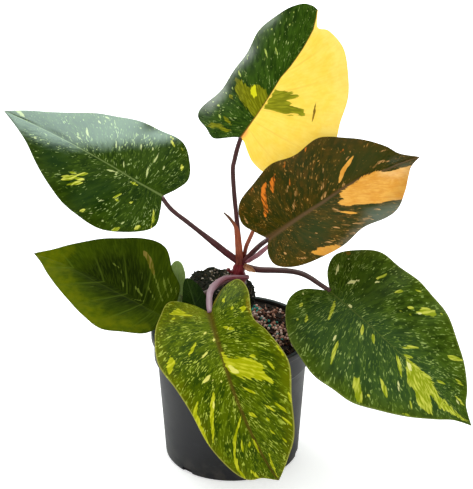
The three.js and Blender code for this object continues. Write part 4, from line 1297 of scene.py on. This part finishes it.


# in each skin, top is a painted highlight colour for the upper side and below a painted shade colour for the
# underside
sheaths = {
    "sheath_b": {
        "path": (
            (5, 8, 142), (4.9, 6.5, 152.2), (4.6, 7.5, 157.2), (4, 9, 163.4), (2.9, 10.5, 168.7),
            (0.4, 11.8, 172.9), (-2.4, 12.5, 176.2), (-5.6, 13, 179.2),
        ),
        "widths": (1.8, 2.5, 2.5, 2.3, 2, 1.2, 1, 0.5), "bow": 0.35, "edgeCurl": 0.12, "crinkle": 0.05,
        "wall": 0.5, "steps": 60, "slot": "sheath_brown",
        "skin": {"hub": (146, 66, 36), "far": (62, 58, 40), "line": (190, 116, 84),
                 "blotch": (90, 34, 24), "seed": 11.0, "length": 44, "turn": (0.62, 0.9), "highlightShare": 0.1,
                 "foot": (98, 28, 30), "below": (84, 30, 24), "shade": 0.9},
    },
    "sheath_pink": {
        "path": (
            (10.8, 6.5, 144.8), (13.4, 3, 148.6), (16.8, -4, 154.4), (20.6, -13, 162.2),
            (25.2, -22, 171.3),
        ),
        "widths": (1.8, 2.2, 2.2, 2, 0.8), "bow": 0.35, "edgeCurl": 0.1, "crinkle": 0.02, "wall": 0.5,
        "steps": 48, "slot": "sheath_pink",
        "skin": {"hub": (150, 84, 92), "far": (176, 128, 136), "line": (206, 170, 180),
                 "blotch": (132, 60, 70), "seed": 12.0, "length": 40, "highlightShare": 0.4, "top": (214, 190, 202)},
    },
    "scale": {
        "path": ((7.5, 9, 141.3), (10.5, 4.2, 141), (13.5, 2.8, 140.2), (16.2, 3.2, 138.4)),
        "widths": (1.4, 2.5, 2.2, 0.4), "bow": 0.45, "edgeCurl": 0.2, "crinkle": 0.05, "wall": 0.45,
        "steps": 30, "slot": "scale_paper",
        "skin": {"hub": (120, 44, 36), "far": (186, 124, 74), "line": (224, 184, 150),
                 "blotch": (120, 60, 36), "seed": 13.0, "length": 12, "highlightShare": 0.25, "below": (86, 34, 26),
                 "turn": (0.0, 0.35), "shade": 0.8},
    },
}
for name, sheath in sheaths.items():
    pieceName = "husk_" + name.replace("sheath_", "")
    skin = stalkMaterial("skin_" + pieceName, sheath["skin"])
    finishPiece(pieceName, sheathMesh(sheath), [skin], [name])
print("crown, sheaths and scale are made")


# Small leaves: a blade and its own thin stalk in one piece

smallBlades = {
    "g": {
        "leaf": leafG, "slot": "leaf_pale", "stalkTone": (126, 150, 84),
        "path": ((-32, 0, 82), (-34.5, 2, 100), (-36.5, 3, 119.8)), "radii": (2.3, 2.6, 2.3),
    },
    "h": {
        "leaf": leafH, "slot": "leaf_dark", "stalkTone": (70, 66, 30),
        "path": ((-18, -15, 82), (-20.5, -17, 98), (-22.5, -18, 114.3)), "radii": (1.3, 1.2, 1.1),
    },
}
for letter, look in smallBlades.items():
    blade = bladeMesh(look["leaf"], "young")
    bladeFaces = len(blade.polygons)
    mesh = joinedMesh([blade, barMesh(look["path"], look["radii"], 12, 30, channelled)])
    stalkSkin = {**darkStalk, "hub": look["stalkTone"], "far": look["stalkTone"], "seed": 8.0, "length": 38}
    bladeSkin = bladeMaterial("skin_" + letter, look["leaf"])
    skins = [bladeSkin, stalkMaterial("skin_stalk_" + letter, stalkSkin)]
    finishPiece("blade_" + letter, mesh, skins, ["leaf_" + letter])
    for polygon in mesh.polygons:
        polygon.material_index = int(polygon.index >= bladeFaces)
print("small leaves are made")


# The pot: a turned profile with drain notches round the foot

potLook = {
    "height": 95, "lipRadius": 56.5, "lipHeight": 4.8, "collarRadius": 54.5, "collarBottom": 75.5,
    "stepBottom": 73, "shoulderRadius": 52, "footRadius": 47, "footRounding": 2.5, "wall": 1.2, "floor": 1.6,
    "drains": 6, "drainWidth": 9, "drainHeight": 4, "drainDepth": 5, "drainBevel": 0.8, "firstDrain": 228,
    "turns": 180, "ringHeight": 4, "outOfRound": (0.0016, 0.0008),
    "dark": (27, 27, 29), "light": (35, 35, 38), "rubbed": (58, 58, 62), "dust": (74, 68, 62),
    "soil": (72, 58, 48),
}


def turnedMesh(profile, turns):
    # a profile of radii and heights in millimetres, spun about the upright axis
    bm = bmesh.new()
    row = [bm.verts.new((radius * mm, 0, height * mm)) for radius, height in profile]
    edges = [bm.edges.new(pair) for pair in zip(row, row[1:])]
    bmesh.ops.spin(bm, geom=row + edges, cent=(0, 0, 0), axis=(0, 0, 1), angle=2 * math.pi, steps=turns,
                   use_merge=True)
    bmesh.ops.remove_doubles(bm, verts=bm.verts, dist=1e-6)
    bmesh.ops.recalc_face_normals(bm, faces=bm.faces)
    return meshFrom(bm, "turned")


def rounded(start, corner, end, radius, count=4):
    # points of a soft corner between two straight runs
    start, corner, end = [np.array(point, float) for point in (start, corner, end)]
    back = corner + (start - corner) / np.linalg.norm(start - corner) * radius
    on = corner + (end - corner) / np.linalg.norm(end - corner) * radius
    shares = np.linspace(0, 1, count + 1)[:, None]
    curve = (1 - shares) ** 2 * back + 2 * shares * (1 - shares) * corner + shares**2 * on
    return [tuple(point) for point in curve]


def softProfile(corners):
    # corners are radius, height and how round each is
    points = [corners[0][:2]]
    for before, corner, after in zip(corners, corners[1:], corners[2:]):
        if corner[2]:
            points += rounded(before[:2], corner[:2], after[:2], corner[2])
        else:
            points.append(corner[:2])
    points.append(corners[-1][:2])
    return points


def withRings(profile, longest):
    # long runs of the profile are split, so that the wall has room for slight waves
    points = [profile[0]]
    for start, end in zip(profile, profile[1:]):
        count = max(1, int(math.dist(start, end) / longest))
        for i in range(1, count + 1):
            share = i / count
            points.append((start[0] + (end[0] - start[0]) * share, start[1] + (end[1] - start[1]) * share))
    return points


def potMesh(look):
    wall = look["wall"]
    foot, shoulder, collar, lip = [look[key + "Radius"] for key in ("foot", "shoulder", "collar", "lip")]
    height, floor = look["height"], look["floor"]
    lipBottom = height - look["lipHeight"]
    collarBottom, stepBottom = look["collarBottom"], look["stepBottom"]
    # up the outside, over the lip, and down the inside
    corners = [
        (0, 0, 0), (foot, 0, look["footRounding"]), (shoulder, stepBottom, 0.8), (collar, collarBottom, 0.8),
        (collar, lipBottom, 0.4), (lip, lipBottom, 0.9), (lip, height, 1.3), (collar - wall, height, 1.0),
        (collar - wall, collarBottom, 0.6), (shoulder - wall, stepBottom, 0.6), (foot - wall, floor, 0.8),
        (0, floor, 0),
    ]
    mesh = turnedMesh(withRings(softProfile(corners), look["ringHeight"]), look["turns"])
    bm = bmesh.new()
    notch = [look["drainDepth"], look["drainWidth"], 2 * look["drainHeight"]]
    size = Matrix.Diagonal((*[side * mm for side in notch], 1))
    for i in range(look["drains"]):
        angle = math.radians(look["firstDrain"] + 360 * i / look["drains"])
        place = Matrix.Rotation(angle, 4, "Z") @ Matrix.Translation((foot * mm, 0, 0)) @ size
        made = bmesh.ops.create_cube(bm, size=1, matrix=place)
        edges = {edge for vert in made["verts"] for edge in vert.link_edges}
        bmesh.ops.bevel(bm, geom=list(edges), offset=look["drainBevel"] * mm, segments=3, profile=0.5,
                        affect="EDGES", material=-1)
    cutter = linkedObject("cutter", meshFrom(bm, "cutter"))
    result = appliedMesh(mesh, "BOOLEAN", object=cutter, operation="DIFFERENCE", solver="EXACT")
    bpy.data.objects.remove(cutter)
    places = placesOf(result)
    # a thin moulded wall is never quite round
    turn = np.arctan2(places[:, 1], places[:, 0])
    share = smoothStep(places[:, 2], 5 * mm, 60 * mm)
    oval, waves = look["outOfRound"]
    swell = 1 + share * (oval * np.sin(2 * turn + 0.6) + waves * np.sin(5 * turn + 90 * places[:, 2]))
    places[:, 0] *= swell
    places[:, 1] *= swell
    moveTo(result, places)
    return result


def potMaterial(look):
    # black plastic, rubbed in places, dusty at the foot and splashed with soil under the lip
    material, tree, shader = newMaterial("potPlastic", **{"Specular IOR Level": 0.35})
    place = objectPlace(tree)
    heights = splitVector(tree, place)[2]
    grain = noiseAt(tree, place, 1400, 3)
    clouds = noiseAt(tree, place, 38, 4, 0.6)
    rings = noiseAt(tree, place, 1, 2, 0.5, (4, 4, 900))
    rubs = ease(tree, noiseAt(tree, place, 90, 5, 0.7, (1, 1, 3)), 0.56, 0.7)
    colour = blendColour(tree, ease(tree, clouds, 0.35, 0.65), look["dark"], look["light"])
    colour = paintOver(tree, colour, rubs, 0.3, look["rubbed"])
    dust = times(tree, ease(tree, heights, 0.02, 0.0), ease(tree, noiseAt(tree, place, 120, 4), 0.4, 0.65))
    colour = paintOver(tree, colour, dust, 0.5, look["dust"])
    underLip = ease(tree, heights, 0.086, 0.0935)
    splash = times(tree, underLip, ease(tree, noiseAt(tree, place, 210, 4), 0.52, 0.66))
    colour = paintOver(tree, colour, splash, 0.35, look["soil"])
    rough = ease(tree, calc(tree, "MULTIPLY_ADD", rubs, 0.25, clouds), 0.3, 0.9, 0.4, 0.58)
    height = calc(tree, "MULTIPLY_ADD", grain, 0.5, times(tree, rings, 0.6))
    height = calc(tree, "MULTIPLY_ADD", clouds, 1.2, height)
    feedShader(tree, shader, colour, rough, height, 0.35, 0.15)
    return material


finishPiece("nursery_pot", potMesh(potLook), [potMaterial(potLook)], ["pot"], 35)
print("the pot is made")


# The potting mix: a lumpy bed with bark chips, fibres and feed pellets on it

mixLook = {
    "level": 91.8, "lumps": 1.1, "turns": 120, "rings": 44, "seed": 11,
    # the bed's side follows the pot's wall: radius and height
    "side": ((0, 2), (45.3, 2), (50.4, 73), (52.9, 76)),
    # how far from the middle each kind may lie
    "grainReach": 50.5, "pelletReach": 50, "fibreReach": 48,
    # sizes are the least and the most in each direction, and shades pick from the tones below
    "crumbs": {
        "count": 900, "sizes": ((0.5, 1.3), (0.5, 1.3), (0.5, 1.3)), "lift": 0.2, "shades": (0.02, 0.38),
    },
    "chips": {
        "count": 460, "sizes": ((1.2, 2.8), (0.7, 1.5), (0.4, 0.9)), "lift": 0.5, "shades": (0.1, 0.68),
    },
    "fibres": {"count": 90, "lengths": (3, 8), "radius": 0.2, "lift": 0.7, "shades": (0.4, 0.66)},
    # heaps are where the feed pellets lie thickest: place and spread
    "pellets": {
        "count": 230, "shades": (0.56, 0.89),
        "heaps": ((24, 16, 9), (30, -4, 10), (29, -22, 10), (18, 34, 8), (34, 6, 9), (-28, -14, 16)),
    },
    "bluePellets": {
        "count": 34, "shades": (0.91, 0.99),
        "heaps": ((17, 39, 3), (25, 17, 4), (32, -6, 8), (-20, -30, 14)),
    },
    # each tone holds from its number up to the next one's
    "tones": (
        (0.0, (30, 16, 12)), (0.12, (44, 24, 16)), (0.3, (62, 36, 24)), (0.42, (96, 58, 42)),
        (0.56, (166, 120, 102)), (0.69, (212, 172, 156)), (0.8, (234, 208, 196)), (0.9, (60, 150, 136)),
    ),
    "relief": 0.5, "rough": (0.55, 0.8),
}
plugLook = {
    "x": -8, "y": 20, "radius": 23, "top": 125, "lumps": 1.5, "tilt": 0.11, "turns": 96, "ringHeight": 1.2,
    "seed": 23, "sunk": 20, "sunkRadius": 18,
    # the outline as steps from the radius and the mix's level, then from the radius and the top
    "side": ((-3, 4), (-2, 14)),
    "shoulder": ((0.5, -12), (-0.5, -5), (-4, -1), (-10, 0), (-16, 0)),
    "crumbs": 900, "crumbSize": (0.4, 1.2), "darkShare": 0.78, "dark": (0.02, 0.4), "pale": (0.5, 0.95),
    "tufts": 160, "tuftLength": (0.8, 1.6), "tuftRadius": 0.3, "moss": (0.42, 0.5),
    "tones": (
        (0.0, (18, 20, 10)), (0.1, (26, 32, 14)), (0.2, (34, 30, 18)), (0.3, (22, 26, 16)),
        (0.41, (50, 62, 30)), (0.5, (100, 88, 72)), (0.7, (156, 144, 130)), (0.85, (190, 180, 166)),
    ),
    "relief": 0.4, "rough": (0.6, 0.85),
}


def mixTop(x, y):
    return mixLook["level"] + mixLook["lumps"] * (lumps(x, y, 0, 2.6) + 0.8 * lumps(y, x, 5, 7))


def scatterMaterial(name, look):
    # each grain's own number picks its tone
    material, tree, shader = newMaterial(name, **{"Specular IOR Level": 0.1})
    pick = valueOf(tree, "grain")
    place = objectPlace(tree)
    band = addNode(tree, "ShaderNodeValToRGB", {0: pick})
    band.color_ramp.interpolation = "CONSTANT"
    while len(band.color_ramp.elements) < len(look["tones"]):
        band.color_ramp.elements.new(0.5)
    for element, (at, colour) in zip(band.color_ramp.elements, look["tones"]):
        element.position = at
        element.color = tone(*colour)
    fine = noiseAt(tree, place, 900, 4, 0.65)
    coarse = noiseAt(tree, place, 240, 3)
    colour = band.outputs[0]
    loose = ease(tree, pick, 0.7, 0.6)
    pale = times(tree, loose, ease(tree, fine, 0.54, 0.72, 0, 0.4))
    colour = blendColour(tree, pale, colour, (150, 118, 92))
    colour = blendColour(tree, ease(tree, coarse, 0.48, 0.3, 0, 0.5), colour, (22, 14, 10))
    rough = ease(tree, fine, 0.3, 0.7, *look["rough"])
    height = calc(tree, "MULTIPLY_ADD", fine, 0.6, coarse)
    feedShader(tree, shader, colour, rough, height, 0.7, look["relief"])
    return material


def addGrain(bm, layer, value, place, size, turn, divisions=1):
    # a pebble of the given size in each direction
    sizes = Matrix.Diagonal((*[s * mm for s in size], 1))
    matrix = Matrix.Translation([p * mm for p in place]) @ turn.to_matrix().to_4x4() @ sizes
    made = bmesh.ops.create_icosphere(bm, subdivisions=divisions, radius=1, matrix=matrix)
    for vert in made["verts"]:
        vert[layer] = value


def addFibre(bm, layer, value, place, length, radius, aim):
    # a thin four-sided strand, thinner at its far end
    turn = aim.to_track_quat("Z", "Y").to_matrix().to_4x4()
    middle = Matrix.Translation((0, 0, length / 2 * mm))
    matrix = Matrix.Translation([p * mm for p in place]) @ turn @ middle
    made = bmesh.ops.create_cone(bm, cap_ends=True, segments=4, depth=length * mm, matrix=matrix,
                                 radius1=radius * mm, radius2=0.4 * radius * mm)
    for vert in made["verts"]:
        vert[layer] = value


def someTurn(pick):
    return Vector((pick.uniform(-1, 1), pick.uniform(-1, 1), pick.uniform(-1, 1))).to_track_quat("Z", "Y")


def fromPlug(x, y):
    # how far outside the plug a place is
    return math.hypot(x - plugLook["x"], y - plugLook["y"]) - plugLook["radius"]


def onBed(x, y, lift):
    return (x, y, float(mixTop(x, y)) + lift)


def mixMesh(look):
    edge = look["side"][-1][0]
    rings = look["rings"]
    profile = [*look["side"], (edge, look["level"])]
    profile += [(edge * (1 - i / rings), look["level"]) for i in range(1, rings + 1)]
    bed = turnedMesh(profile, look["turns"])
    places = placesOf(bed)
    onTop = places[:, 2] > (look["level"] - 0.05) * mm
    x, y = places[:, 0] / mm, places[:, 1] / mm
    tops = mixTop(x, y) + 0.35 * lumps(x, y, 3, 0.9)
    places[:, 2] = np.where(onTop, tops * mm, places[:, 2])
    moveTo(bed, places)
    pick = random.Random(look["seed"])
    bm = bmesh.new()
    bm.from_mesh(bed)
    grain = bm.verts.layers.float.new("grain")

    def somewhere(reach):
        # on the bed and not deep in the plug
        while True:
            turn = pick.uniform(0, 2 * math.pi)
            away = reach * math.sqrt(pick.random())
            x = away * math.cos(turn)
            y = away * math.sin(turn)
            if fromPlug(x, y) > -4:
                return x, y

    for grains in (look["crumbs"], look["chips"]):
        for _ in range(grains["count"]):
            place = onBed(*somewhere(look["grainReach"]), grains["lift"])
            size = [pick.uniform(*span) for span in grains["sizes"]]
            addGrain(bm, grain, pick.uniform(*grains["shades"]), place, size, someTurn(pick))
    for pellets in (look["pellets"], look["bluePellets"]):
        for i in range(pellets["count"]):
            heapX, heapY, spread = pellets["heaps"][i % len(pellets["heaps"])]
            x, y = pick.gauss(heapX, spread), pick.gauss(heapY, spread)
            if math.hypot(x, y) > look["pelletReach"] or fromPlug(x, y) < -2:
                x, y = somewhere(look["grainReach"])
            size = [pick.uniform(0.8, 1.35) * pick.uniform(0.85, 1.15) for _ in range(3)]
            place = onBed(x, y, pick.uniform(0.6, 1.3))
            addGrain(bm, grain, pick.uniform(*pellets["shades"]), place, size, someTurn(pick), 2)
    fibres = look["fibres"]
    for _ in range(fibres["count"]):
        place = onBed(*somewhere(look["fibreReach"]), fibres["lift"])
        aim = Vector((pick.uniform(-1, 1), pick.uniform(-1, 1), pick.uniform(-0.1, 0.25))).normalized()
        shade = pick.uniform(*fibres["shades"])
        addFibre(bm, grain, shade, place, pick.uniform(*fibres["lengths"]), fibres["radius"], aim)
    return meshFrom(bm, "mix")


barkSkin = scatterMaterial("barkMix", mixLook)
finishPiece("bark_mix", mixMesh(mixLook), [barkSkin], ["potting_mix"], 50)


def plugMesh(look):
    # the rooting plug, with crumbs pressed into it and short moss on its shoulder
    level, top, radius = mixLook["level"], look["top"], look["radius"]
    bottom, inner = level - look["sunk"], look["sunkRadius"]
    profile = [(0, bottom), (inner, bottom), (inner + 1, level - 4)]
    profile += [(radius + out, level + up) for out, up in look["side"]]
    profile += [(radius + out, top + up) for out, up in look["shoulder"]]
    profile.append((0, top))
    mesh = turnedMesh(withRings(profile, look["ringHeight"]), look["turns"])
    places = placesOf(mesh) / mm
    x, y, z = places.T
    share = smoothStep(z, level + 2, level + 12)
    push = 1 + share * look["lumps"] * lumps(x, y, z, 3.4) / radius
    rise = share * (look["lumps"] * lumps(y, x, z, 4.1) - look["tilt"] * x)
    fine = 1 + share * 0.7 * lumps(z, x, y, 1.3) / radius
    places = np.stack([x * push * fine + look["x"], y * push * fine + look["y"], z + rise], axis=1)
    moveTo(mesh, places * mm)
    pick = random.Random(look["seed"])
    bm = bmesh.new()
    bm.from_mesh(mesh)
    bm.normal_update()
    grain = bm.verts.layers.float.new("grain")
    bm.verts.ensure_lookup_table()
    skin = [vert for vert in bm.verts if vert.co.z > (level + 3) * mm]
    seats = [(vert.co.copy() / mm, vert.normal.copy()) for vert in skin]
    for _ in range(look["crumbs"]):
        place = pick.choice(seats)[0]
        size = [pick.uniform(*look["crumbSize"]) for _ in range(3)]
        shades = look["dark"] if pick.random() < look["darkShare"] else look["pale"]
        addGrain(bm, grain, pick.uniform(*shades), place, size, someTurn(pick))
    for _ in range(look["tufts"]):
        place, normal = pick.choice(seats)
        lean = Vector((pick.uniform(-1, 1), pick.uniform(-1, 1), pick.uniform(-0.4, 1)))
        aim = (normal + 0.9 * lean).normalized()
        shade = pick.uniform(*look["moss"])
        addFibre(bm, grain, shade, place, pick.uniform(*look["tuftLength"]), look["tuftRadius"], aim)
    return meshFrom(bm, "plug")


mossSkin = scatterMaterial("mossPlug", plugLook)
finishPiece("moss_plug", plugMesh(plugLook), [mossSkin], ["root_plug"], 50)
print("potting mix and rooting plug are made")
